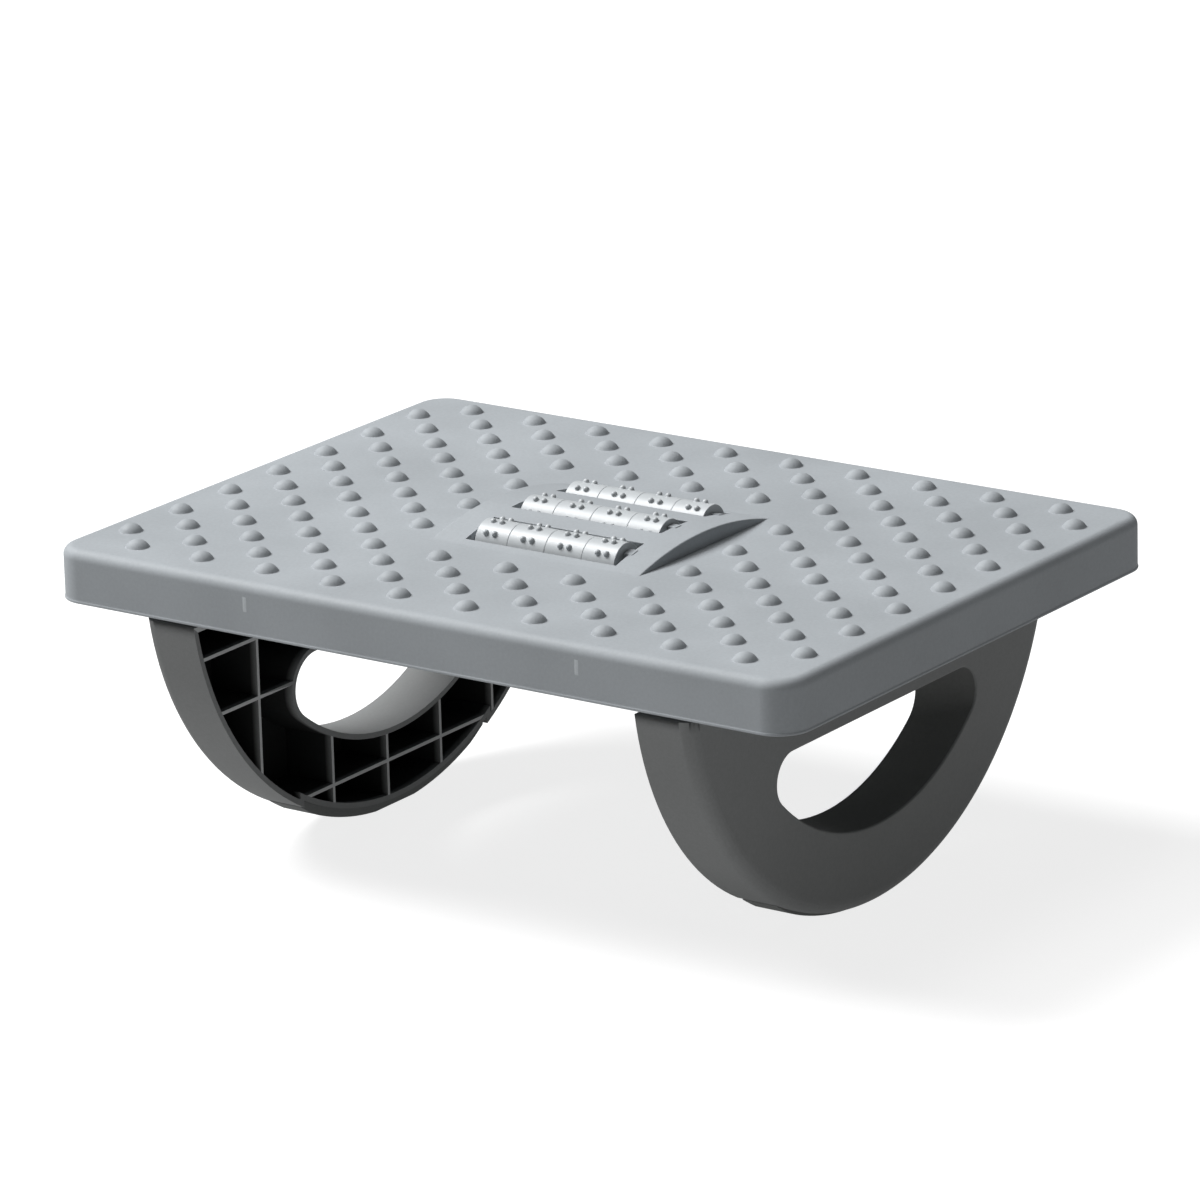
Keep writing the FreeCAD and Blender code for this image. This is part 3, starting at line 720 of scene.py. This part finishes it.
def crossings(centre_a: np.ndarray, radius_a: float, centre_b: np.ndarray, radius_b: float) -> np.ndarray:
    """Finds where two circles cross.

    They cross at a = (ra^2 - rb^2 + d^2) / 2d along the line between their centres, and sqrt(ra^2 - a^2) to
    either side of it.

    Args:
        centre_a: Centre of the first circle as Y and Z.
        radius_a: Its radius.
        centre_b: Centre of the second circle.
        radius_b: Its radius.

    Returns:
        The two crossings, the one with the lower Y first.
    """
    line = centre_b - centre_a
    length = np.hypot(*line)
    unit = line / length
    along = (radius_a ** 2 - radius_b ** 2 + length ** 2) / (2 * length)
    aside = math.sqrt(radius_a ** 2 - along ** 2) * np.array([-unit[1], unit[0]])
    both = np.array([centre_a + unit * along - aside, centre_a + unit * along + aside])
    return both[np.argsort(both[:, 0])]


def arc_points(centre: np.ndarray, start: np.ndarray, end: np.ndarray, steps: int) -> np.ndarray:
    """Walks the short way round a circle from one point on it to another.

    Args:
        centre: The circle's centre as Y and Z.
        start: First point.
        end: Last point.
        steps: Number of steps.

    Returns:
        Points, one row each.
    """
    first = math.atan2(start[1] - centre[1], start[0] - centre[0])
    last = math.atan2(end[1] - centre[1], end[0] - centre[0])
    sweep = (last - first + math.pi) % (2 * math.pi) - math.pi
    angle = first + sweep * np.linspace(0.0, 1.0, steps + 1)
    radius = np.hypot(*(start - centre))
    return centre + radius * np.column_stack([np.cos(angle), np.sin(angle)])


@dataclass(frozen=True)
class Hump:
    """The arched middle of the plate, with the three slots for the rollers."""

    top_z: float = 166.0 * MM
    half_length: float = 62.2 * MM
    half_width: float = 56.0 * MM
    half_room: float = 60.0 * MM
    arc_radius: float = 200.0 * MM
    arc_z: float = -26.0 * MM
    wall: float = 2.6 * MM
    foot_blend: float = 12.0 * MM
    end_round: float = 0.8 * MM
    slot_radius: float = 13.6 * MM
    slot_half_length: float = 45.0 * MM
    slot_round: float = 0.45 * MM
    slot_border: float = 0.5 * MM
    round_steps: int = 4
    wall_steps: int = 3
    end_steps: int = 5
    slot_steps: int = 4
    blend_steps: int = 5
    arch_steps: int = 4
    gap_steps: int = 6
    end_border: float = 1.28 * MM
    axes: tuple[tuple[float, float], ...] = (
        (-37.4 * MM, 163.8 * MM), (0.0, 166.2 * MM), (37.4 * MM, 163.8 * MM))

    @property
    def arc_centre(self) -> np.ndarray:
        """Centre of the arch as Y and Z."""
        return np.array([0.0, self.arc_z])

    @property
    def blend_y(self) -> float:
        """Where the blend at the foot runs out into the flat plate."""
        over = self.top_z + self.foot_blend - self.arc_z
        return math.sqrt((self.arc_radius + self.foot_blend) ** 2 - over ** 2)

    @property
    def meet_y(self) -> float:
        """Where the arch goes over into the blend."""
        return self.blend_y * self.arc_radius / (self.arc_radius + self.foot_blend)

    def height(self, y: np.ndarray) -> np.ndarray:
        """Works out how high the skin stands over the flat plate.

        Inside meet_y it is the arch's circle, from there to blend_y a circle that touches the arch and the
        flat plate, and beyond it is nought.

        Args:
            y: Places along Y.

        Returns:
            Heights.
        """
        away = np.abs(y)
        arch = self.arc_z + np.sqrt(self.arc_radius ** 2 - np.minimum(away, self.meet_y) ** 2) - self.top_z
        inside = np.clip(self.blend_y - away, 0.0, self.foot_blend)
        blend = self.foot_blend - np.sqrt(self.foot_blend ** 2 - inside ** 2)
        return np.where(away < self.meet_y, arch, blend)

    def slot_edge(self, axis: np.ndarray, back: bool) -> np.ndarray:
        """Works out the section of a slot's edge, from the arch round its edge and down its wall.

        The rounding's centre is where a circle just inside the arch crosses one just outside the slot.

        Args:
            axis: The slot's axis as Y and Z.
            back: Whether it is the edge on the +Y side.

        Returns:
            Points, one row of Y and Z each.
        """
        side = int(back)
        inner = self.arc_radius - self.slot_round
        outer = self.slot_radius + self.slot_round
        centre = crossings(self.arc_centre, inner, axis, outer)[side]
        on_arch = self.arc_centre + (centre - self.arc_centre) * self.arc_radius / inner
        on_wall = axis + (centre - axis) * self.slot_radius / outer
        low = crossings(self.arc_centre, self.arc_radius - self.wall, axis, self.slot_radius)[side]
        return np.vstack([
            arc_points(centre, on_arch, on_wall, self.round_steps),
            arc_points(axis, on_wall, low, self.wall_steps)[1:]])

    def stations(self, edges: list[list[np.ndarray]]) -> np.ndarray:
        """Splits the hump along Y, with a line on each slot's edge and one beside it.

        Args:
            edges: Sections of each slot's front and back edge.

        Returns:
            Places along Y, from the front.
        """
        knots = [-self.half_room, -self.blend_y, -self.meet_y]
        steps = [1, self.blend_steps]
        for front, back in edges:
            start, end = front[0, 0], back[0, 0]
            knots += [start - self.slot_border, start, end, end + self.slot_border]
            steps += [self.arch_steps, 1, self.gap_steps, 1]
        knots += [self.meet_y, self.blend_y, self.half_room]
        steps += [self.arch_steps, self.blend_steps, 1]
        return np.concatenate([
            np.linspace(knots[i], knots[i + 1], n, endpoint=False) for i, n in enumerate(steps)]
            + [np.array(knots[-1:])])

    def add(self, skin: Skin) -> np.ndarray:
        """Adds the hump's skin with its end faces, and the slots' front and back walls.

        Args:
            skin: Where the faces go.

        Returns:
            The hump's border on the flat plate, one point a row, in order round it.
        """
        edges = [[self.slot_edge(np.array(axis), back) for back in (False, True)] for axis in self.axes]
        y = self.stations(edges)
        height = self.height(y)
        turn = np.linspace(math.pi / 2, 0.0, self.end_steps + 1)
        round_x = -self.half_length + self.end_round * (1 - np.sin(turn))
        inner_x = np.linspace(-self.slot_half_length, self.slot_half_length, self.slot_steps + 1)
        left_x = np.concatenate([round_x, [-self.half_length + self.end_border]])
        x = np.concatenate([left_x, inner_x, -left_x[::-1]])
        fall = np.concatenate([1 - np.cos(turn), [0.0], 0.0 * inner_x, [0.0], 1 - np.cos(turn[::-1])])
        drop = np.minimum(self.end_round, height) * fall[:, None]
        z = self.top_z + height - drop
        x = np.concatenate([[-self.half_length], x, [self.half_length]])
        flat = np.full((1, len(y)), self.top_z)
        z = np.vstack([flat, z, flat])
        middle_x = np.abs(x[1:] + x[:-1])[:, None] / 2 < self.slot_half_length
        middle_y = (y[1:] + y[:-1])[None] / 2
        keep = np.ones((len(x) - 1, len(y) - 1), bool)
        for front, back in edges:
            keep &= ~(middle_x & (middle_y > front[0, 0]) & (middle_y < back[0, 0]))
        points = stacked(x[:, None], y, z)
        skin.grid(points, keep=keep)
        for front, back in edges:
            skin.grid(stacked(inner_x[:, None], *front.T))
            skin.grid(stacked(inner_x[:, None], *back.T), turned=True)
        return np.vstack([points[1:-1, 0], points[-1, 1:], points[-3:0:-1, -1], points[0, -2:0:-1]])


@dataclass(frozen=True)
class Plate:
    """The studded plate: its rim, flat, hump and studs."""

    half_length: float = 218.7 * MM
    half_width: float = 161.5 * MM
    corner: float = 17.0 * MM
    top_z: float = 166.0 * MM
    skirt_z: float = 139.0 * MM
    edge_round: float = 5.0 * MM
    wall: float = 2.6 * MM
    lip_proud: float = 0.3 * MM
    lip_height: float = 1.2 * MM
    flat_inset: float = 12.0 * MM
    corner_steps: int = 12
    side_steps: int = 10
    edge_steps: int = 10
    stud_step: float = 20.0 * MM
    stud_margin: float = 18.0 * MM
    stud_clear: float = 5.0 * MM
    stud: Dome = Dome(12.2 * MM, 3.9 * MM, 0.5 * MM, 0.0, 7, 24)
    hump: Hump = Hump()
    finger_half: float = 2.6 * MM
    finger_reach: float = 47.2 * MM
    marks_x: tuple[float, float] = (-97.5 * MM, 99.0 * MM)
    mark_z: float = 155.0 * MM
    mark_half_width: float = 1.1 * MM
    mark_half_height: float = 3.8 * MM
    mark_proud: float = 0.06 * MM
    skin_depth: float = 6.0 * MM
    end_depth: float = 2.0 * MM
    near: float = 0.15 * MM
    barely_up: float = 0.05
    half_up: float = 0.5
    barely_aside: float = 0.1

    def outline(self, inset: float) -> np.ndarray:
        """Walks round the plate at an inset from its wall."""
        return rounded_rectangle(
            self.half_length - inset, self.half_width - inset, self.corner - inset, self.corner_steps,
            self.side_steps)

    def rim_profile(self) -> np.ndarray:
        """Works out the rim's section, from the flat over the rounded edge down to the lip and under it.

        The rounded edge is a quarter circle: at angle a its inset is R (1 - sin a), its drop R (1 - cos a).
        A narrow band beside it on either side keeps the shading of the flat and of the wall even. The lip's
        own edges are rounded by a few tenths of a millimetre.

        Returns:
            Inset and height of each point.
        """
        turn = np.linspace(0.0, math.pi / 2, self.edge_steps + 1)
        edge = np.column_stack([
            self.edge_round * (1 - np.sin(turn)), self.top_z - self.edge_round * (1 - np.cos(turn))])
        flat = [(self.flat_inset, self.top_z), (self.edge_round + 0.9 * MM, self.top_z)]
        lip_z = self.skirt_z + self.lip_height
        wall = [
            (0.0, self.top_z - self.edge_round - 0.8 * MM), (0.0, lip_z + 1.0 * MM),
            (0.0, lip_z + 0.3 * MM), (-0.1 * MM, lip_z + 0.1 * MM), (-0.22 * MM, lip_z - 0.06 * MM),
            (-self.lip_proud, lip_z - 0.3 * MM), (-self.lip_proud, self.skirt_z + 0.3 * MM),
            (-0.1 * MM, self.skirt_z), (self.wall, self.skirt_z)]
        return np.vstack([flat, edge, wall])

    def stud_places(self) -> np.ndarray:
        """Lists the studs: staggered rows, with the hump left free.

        Returns:
            Places on the plate's top, one row each.
        """
        columns = int((self.half_length - self.stud_margin) // self.stud_step)
        rows = int((self.half_width - self.stud_margin) // self.stud_step)
        column, row = np.meshgrid(np.arange(-columns, columns + 1), np.arange(-rows, rows + 1))
        x = column * self.stud_step
        y = row * self.stud_step
        clear_x = self.hump.half_length + self.stud_clear
        clear_y = self.hump.half_width + self.stud_clear
        used = ((row + column) % 2 == 0) & ((np.abs(x) > clear_x) | (np.abs(y) > clear_y))
        return np.column_stack([x[used], y[used], np.full(used.sum(), self.top_z)])

    def under_skin(self, centres: np.ndarray, normals: np.ndarray) -> np.ndarray:
        """Tells the moulding's faces under the skin from those of the skin.

        How far a face is inside the outline is the corner's radius less its distance from the corner's
        centre, or in the straight parts its distance from the nearer wall. The fingers at the slots' ends
        are kept, but for what is proud of the arch.

        Args:
            centres: Centres of the faces.
            normals: Their normals.

        Returns:
            True for each face that isn't part of the skin.
        """
        over = np.abs(centres[:, :2]) - np.array([self.half_length, self.half_width]) + self.corner
        inside = self.corner - np.where(
            (over > 0).all(axis=1), np.hypot(over[:, 0], over[:, 1]), over.max(axis=1))
        x, y, z = centres.T
        wall = inside < self.wall / 2
        upper = (z > self.top_z - self.skin_depth) & (normals[:, 2] > self.barely_up)
        lower = (z < self.skirt_z + self.lip_height + self.near) & (np.abs(normals[:, 2]) > self.half_up)
        hump_end = (z > self.top_z) & (np.abs(x) > self.hump.half_length - self.end_depth)
        skin = wall | upper | lower | hump_end
        finger = np.zeros(len(x), bool)
        for axis_y, axis_z in self.hump.axes:
            away = np.hypot(y - axis_y, z - axis_z)
            slot_wall = np.abs(away - self.hump.slot_radius) < self.near
            slot_wall &= np.abs(normals[:, 0]) < self.barely_aside
            skin |= slot_wall & (np.abs(x) < self.hump.slot_half_length)
            finger |= (np.abs(y - axis_y) < self.finger_half) & (np.abs(x) < self.finger_reach)
        proud = np.hypot(y, z - self.hump.arc_z) > self.hump.arc_radius + self.near
        return ~skin | (finger & proud)

    def mesh(self) -> Mesh:
        """Builds the skin and joins it to the moulding's underside.

        Returns:
            The mesh.
        """
        skin = Skin()
        loops = np.stack([stacked(*self.outline(inset).T, z) for inset, z in self.rim_profile()])
        skin.grid(loops, around=True)
        border = self.hump.add(skin)
        places = self.stud_places()
        studs = self.stud.stood(places, np.repeat([[0.0, 0.0, 1.0]], len(places), 0))
        skin.grid(studs, around=True)
        LOG.info("%d studs", len(places))
        outside = joined("plate_outside", [
            skin.mesh("plate_rim"), filled("plate_flat", [loops[0], border, *studs[:, -1]])])
        tidy(outside)
        marks = Skin()
        marks.grid(self.mark_patches())
        return joined("plate_skin", [
            outside, marks.mesh("plate_marks"), moulding_copy("top_plate", self.under_skin)])

    def marked(self, mesh: Mesh) -> np.ndarray:
        """Tells the two moulding marks' faces from the others of the plate."""
        _, y, z = face_vectors(mesh, "center").T
        return (y < -self.half_width) & (np.abs(z - self.mark_z) < self.mark_half_height)

    def mark_patches(self) -> np.ndarray:
        """Works out the two small moulding marks on the front skirt.

        Across (u) and up (v) the mark from -1 to 1, it stands out by its height times the square root of
        (1 - u^4)(1 - v^4).

        Returns:
            Points shaped marks x rows x columns x 3.
        """
        u, v = np.meshgrid(np.linspace(-1.0, 1.0, 9), np.linspace(-1.0, 1.0, 13))
        proud = self.mark_proud * np.sqrt((1 - u ** 4) * (1 - v ** 4))
        patch = stacked(
            u * self.mark_half_width, -self.half_width - proud, self.mark_z + v * self.mark_half_height)
        shifts = np.array([[mark_x, 0.0, 0.0] for mark_x in self.marks_x])
        return patch[None, ::-1] + shifts[:, None, None]


def flatten_sides(mesh: Mesh) -> Mesh:
    """Shades the faces that look along X flat, as they lie in planes.

    Args:
        mesh: The mesh, changed in place.

    Returns:
        The same mesh.
    """
    straight_on = 0.999
    smooth = np.empty(len(mesh.polygons), bool)
    mesh.polygons.foreach_get("use_smooth", smooth)
    smooth &= np.abs(face_vectors(mesh, "normal")[:, 0]) < straight_on
    mesh.polygons.foreach_set("use_smooth", smooth)
    return mesh


@dataclass(frozen=True)
class Tread:
    """The rubber strip let into a rocker's bottom, which runs out at both ends."""

    half_length: float = 78.0 * MM
    run_out: float = 12.0 * MM
    end_proud: float = 0.35 * MM

    def thin(self, mesh: Mesh) -> Mesh:
        """Lets the strip's height over the rocker fall off towards its ends.

        Over the run-out the height goes in a straight line from the whole to end_proud.

        Args:
            mesh: The strip's mesh, which is changed.

        Returns:
            The same mesh.
        """
        points = np.empty(3 * len(mesh.vertices))
        mesh.vertices.foreach_get("co", points)
        points = points.reshape(-1, 3)
        from_centre = points[:, 1:] - ROCKER_CENTRE
        away = np.hypot(*from_centre.T)
        proud = away - ROCKER_RADIUS
        share = np.clip((self.half_length - np.abs(points[:, 1])) / self.run_out, 0.0, 1.0)
        kept = np.minimum(proud, self.end_proud + np.maximum(proud - self.end_proud, 0.0) * share)
        factor = np.where(proud > 0.0, (ROCKER_RADIUS + kept) / away, 1.0)
        points[:, 1:] = from_centre * factor[:, None] + ROCKER_CENTRE
        mesh.vertices.foreach_set("co", points.ravel())
        mesh.update()
        return mesh


@dataclass(frozen=True)
class RockerZones:
    """Tells a rocker's cells and the edges round them from its outside."""

    edge_round: float = 7.0 * MM
    wall: float = 2.8 * MM
    rim: float = 6.5 * MM
    open_x: float = 130.7 * MM
    outer_x: float = 162.3 * MM
    hole_radius: float = 121.6 * MM
    hole_top: float = 99.41 * MM
    hole_middle: float = 75.0 * MM
    shoulder_z: float = 137.0 * MM
    level: float = 0.05 * MM

    def of(self, mesh: Mesh) -> np.ndarray:
        """Sorts a rocker's faces.

        The outside is less than half a wall under the half disc with its rounded edge. The hand hole's
        own wall faces the hole's middle and is less than half a wall outside the hole. The faces in the
        open plane are the rims and the ribs' edges.

        Args:
            mesh: The rocker's mesh.

        Returns:
            The Zone of each face. The rims count as outside.
        """
        x, y, z = face_vectors(mesh, "center").T
        x = np.abs(x)
        away = np.hypot(y, z - ROCKER_CENTRE[1])
        over = np.hypot(
            np.maximum(away - ROCKER_RADIUS + self.edge_round, 0.0),
            np.maximum(x - self.outer_x + self.edge_round, 0.0))
        outside = over > self.edge_round - self.wall / 2
        _, normal_y, normal_z = face_vectors(mesh, "normal").T
        faces_middle = normal_y * y + normal_z * (z - self.hole_middle) < 0.0
        within = (away < self.hole_radius + self.wall / 2) & (z < self.hole_top + self.wall / 2)
        edge = x < self.open_x + self.level
        rim = (away > ROCKER_RADIUS - self.rim) | (
            (away < self.hole_radius + self.wall) & (z < self.hole_top + self.wall))
        hole = within & faces_middle & ~edge & ~outside
        cell = ~(outside | hole | edge) & (z < self.shoulder_z - self.level)
        zones = [Zone.CELL, Zone.RIB_EDGE, Zone.HAND_HOLE]
        return np.select([cell, edge & ~rim, hole], zones, Zone.OUTSIDE).astype(np.int32)


@dataclass(frozen=True)
class Ring:
    """A studded ring of a roller, hollow towards its neighbours round a hub with a six-sided bore."""

    radius: float = 11.0 * MM
    pitch: float = 22.3 * MM
    gap: float = 0.12 * MM
    end_cut: float = 2.85 * MM
    edge_round: float = 0.25 * MM
    chamfer: float = 0.2 * MM
    shell: float = 2.0 * MM
    hub: float = 6.2 * MM
    recess: float = 7.0 * MM
    bore_flats: float = 8.1 * MM
    sides: int = 96
    pairs: int = 9
    pair_spacing: float = 5.2 * MM
    pimple: Dome = Dome(2.9 * MM, 1.8 * MM, 0.25 * MM, 0.25 * MM, 5, 14)

    def profile(self, hollow: bool) -> np.ndarray:
        """Works out the section of one end, from the bore out to the tread.

        Args:
            hollow: Whether the end has a recess round the hub.

        Returns:
            Distance from the ring's end and radius of each point.
        """
        turn = np.linspace(0.0, math.pi / 2, 5)
        edge = np.column_stack([
            self.edge_round * (1 - np.cos(turn)), self.radius - self.edge_round * (1 - np.sin(turn))])
        inner = self.radius - self.shell
        inside = [(0.0, self.hub - self.chamfer)]
        if hollow:
            inside += [
                (self.chamfer, self.hub), (self.recess, self.hub), (self.recess, inner),
                (self.chamfer, inner), (0.0, inner + self.chamfer)]
        inside.append((0.0, self.radius - 1.5 * self.edge_round))
        return np.vstack([inside, edge, [(1.6 * self.edge_round, self.radius)]])

    def mesh(self, index: int, axis: tuple[float, float], first_turn: float) -> Mesh:
        """Builds one ring in its place.

        Round the axis the bore's radius is half its flats over cos(a mod 60 deg - 30 deg).

        Args:
            index: Its place along the roller, from 0.
            axis: Y and Z of the roller's axis.
            first_turn: How far the first pair of pimples is from +Y, in steps from pair to pair.

        Returns:
            The mesh.
        """
        last = RINGS_PER_ROLLER - 1
        middle_x = (index - last / 2) * self.pitch
        start = middle_x - (self.pitch - self.gap) / 2 + self.end_cut * (index == 0)
        end = middle_x + (self.pitch - self.gap) / 2 - self.end_cut * (index == last)
        angle = np.linspace(0.0, 2 * math.pi, self.sides, endpoint=False)
        left = self.profile(index > 0)
        right = self.profile(index < last)[::-1]
        x = np.concatenate([[start], start + left[:, 0], end - right[:, 0], [end, start]])
        radius = np.concatenate([left[:, 1], right[:, 1]])
        bore = self.bore_flats / 2 / np.cos(angle % (math.pi / 3) - math.pi / 6)
        radius = np.vstack([bore, np.repeat(radius[:, None], self.sides, 1), bore, bore])
        skin = Skin()
        skin.grid(
            stacked(x[:, None], axis[0] + radius * np.cos(angle), axis[1] + radius * np.sin(angle)),
            around=True, turned=True)
        pair = 2 * math.pi * (np.arange(self.pairs) + first_turn) / self.pairs
        outwards = np.repeat(np.column_stack([0 * pair, np.cos(pair), np.sin(pair)]), 2, 0)
        offset = np.tile([-self.pair_spacing / 2, self.pair_spacing / 2], self.pairs)
        feet = outwards * self.radius + np.array([middle_x, *axis])
        feet[:, 0] += offset
        skin.grid(self.pimple.stood(feet, outwards), around=True)
        return skin.mesh("ring")


def filled(name: str, loops: list[np.ndarray]) -> Mesh:
    """Fills the flat between the first loop and the others, which are holes in it.

    Args:
        name: Name of the mesh.
        loops: Closed loops of points at one height, one point a row.

    Returns:
        The flat, looking up.
    """
    starts = np.cumsum([0] + [len(loop) for loop in loops])
    edges = np.vstack([
        np.column_stack([start + np.arange(len(loop)), start + (np.arange(len(loop)) + 1) % len(loop)])
        for start, loop in zip(starts, loops)])
    made = bpy.data.meshes.new(name)
    made.from_pydata(np.vstack(loops).tolist(), edges.tolist(), [])
    work = bmesh.new()
    work.from_mesh(made)
    bmesh.ops.triangle_fill(work, edges=work.edges[:], use_beauty=True, normal=(0.0, 0.0, 1.0))
    work.to_mesh(made)
    work.free()
    return made


def joined(name: str, parts: list[Mesh]) -> Mesh:
    """Joins meshes into one, each keeping its own points and sharp edges.

    Args:
        name: Name of the result.
        parts: The meshes.

    Returns:
        The joined mesh.
    """
    work = bmesh.new()
    for part in parts:
        work.from_mesh(part)
    made = bpy.data.meshes.new(name)
    work.to_mesh(made)
    work.free()
    return made


def weighted(shown: Object) -> Object:
    """Lets large faces rule the shading next to small ones.

    Args:
        shown: The object, which is changed.

    Returns:
        The same object.
    """
    held = shown.modifiers.new("weighted_normals", "WEIGHTED_NORMAL")
    held.keep_sharp = True
    held.weight = 100
    return shown


@dataclass(frozen=True)
class FootRest:
    """Every piece of the foot rest."""

    finishes: Finishes
    plate: Plate = Plate()
    ring: Ring = Ring()
    zones: RockerZones = RockerZones()
    tread: Tread = Tread()
    first_turns: Triple = (0.55, 0.75, 0.98)

    def build(self) -> None:
        """Builds every piece."""
        plate = weighted(piece(
            "plate_skin", self.plate.mesh(), self.finishes.plate, "base", Slot.PLATE, "top_plate"))
        plate.data.materials.append(self.finishes.mark)
        plate.data.polygons.foreach_set("material_index", self.plate.marked(plate.data).astype(np.int32))
        kept = []
        for side in SIDES:
            shell = weighted(piece(
                "rocker_shell_" + side, moulding_copy("rocker_" + side), self.finishes.rocker, "base",
                Slot.ROCKER, "rocker_" + side))
            # The hand hole's wall gets painted light on the left rocker and painted shade on the right.
            hole = self.finishes.hole_left if side == "left" else self.finishes.hole_right
            # The cells get painted shade and the rib edges painted light.
            for finish in (self.finishes.rocker_cell, self.finishes.rocker_edge, hole):
                shell.data.materials.append(finish)
            zone = self.zones.of(shell.data)
            shell.data.polygons.foreach_set("material_index", zone)
            smooth = np.isin(zone, (Zone.OUTSIDE, Zone.HAND_HOLE))
            shell.data.polygons.foreach_set("use_smooth", smooth)
            flatten_sides(shell.data)
            weighted(piece(
                "tread_strip_" + side, flatten_sides(self.tread.thin(moulding_copy("tread_" + side))),
                self.finishes.tread, "base", Slot.TREAD, "tread_" + side))
            kept.append(("retainer_" + side, self.finishes.retainer))
            kept.append(("retainer_screws_" + side, self.finishes.screw))
            kept.append(("rocker_screws_" + side, self.finishes.screw))
        for row, axis, first_turn in zip(ROWS, self.plate.hump.axes, self.first_turns):
            kept.append(("roller_core_" + row, self.finishes.roller))
            for index in range(RINGS_PER_ROLLER):
                node = "roller_ring_%s_%d" % (row, index + 1)
                piece("studded_ring_%s_%d" % (row, index + 1), self.ring.mesh(index, axis, first_turn),
                      self.finishes.roller, "roller_" + row, Slot.ROLLER, node)
        for node, material in kept:
            finish_node(node, material)


def main() -> None:
    """Builds the scene."""
    logging.basicConfig(level=logging.INFO, format="%(message)s")
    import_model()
    FootRest(Finishes.mix()).build()
    Studio().build()


if __name__ == "__main__":
    main()
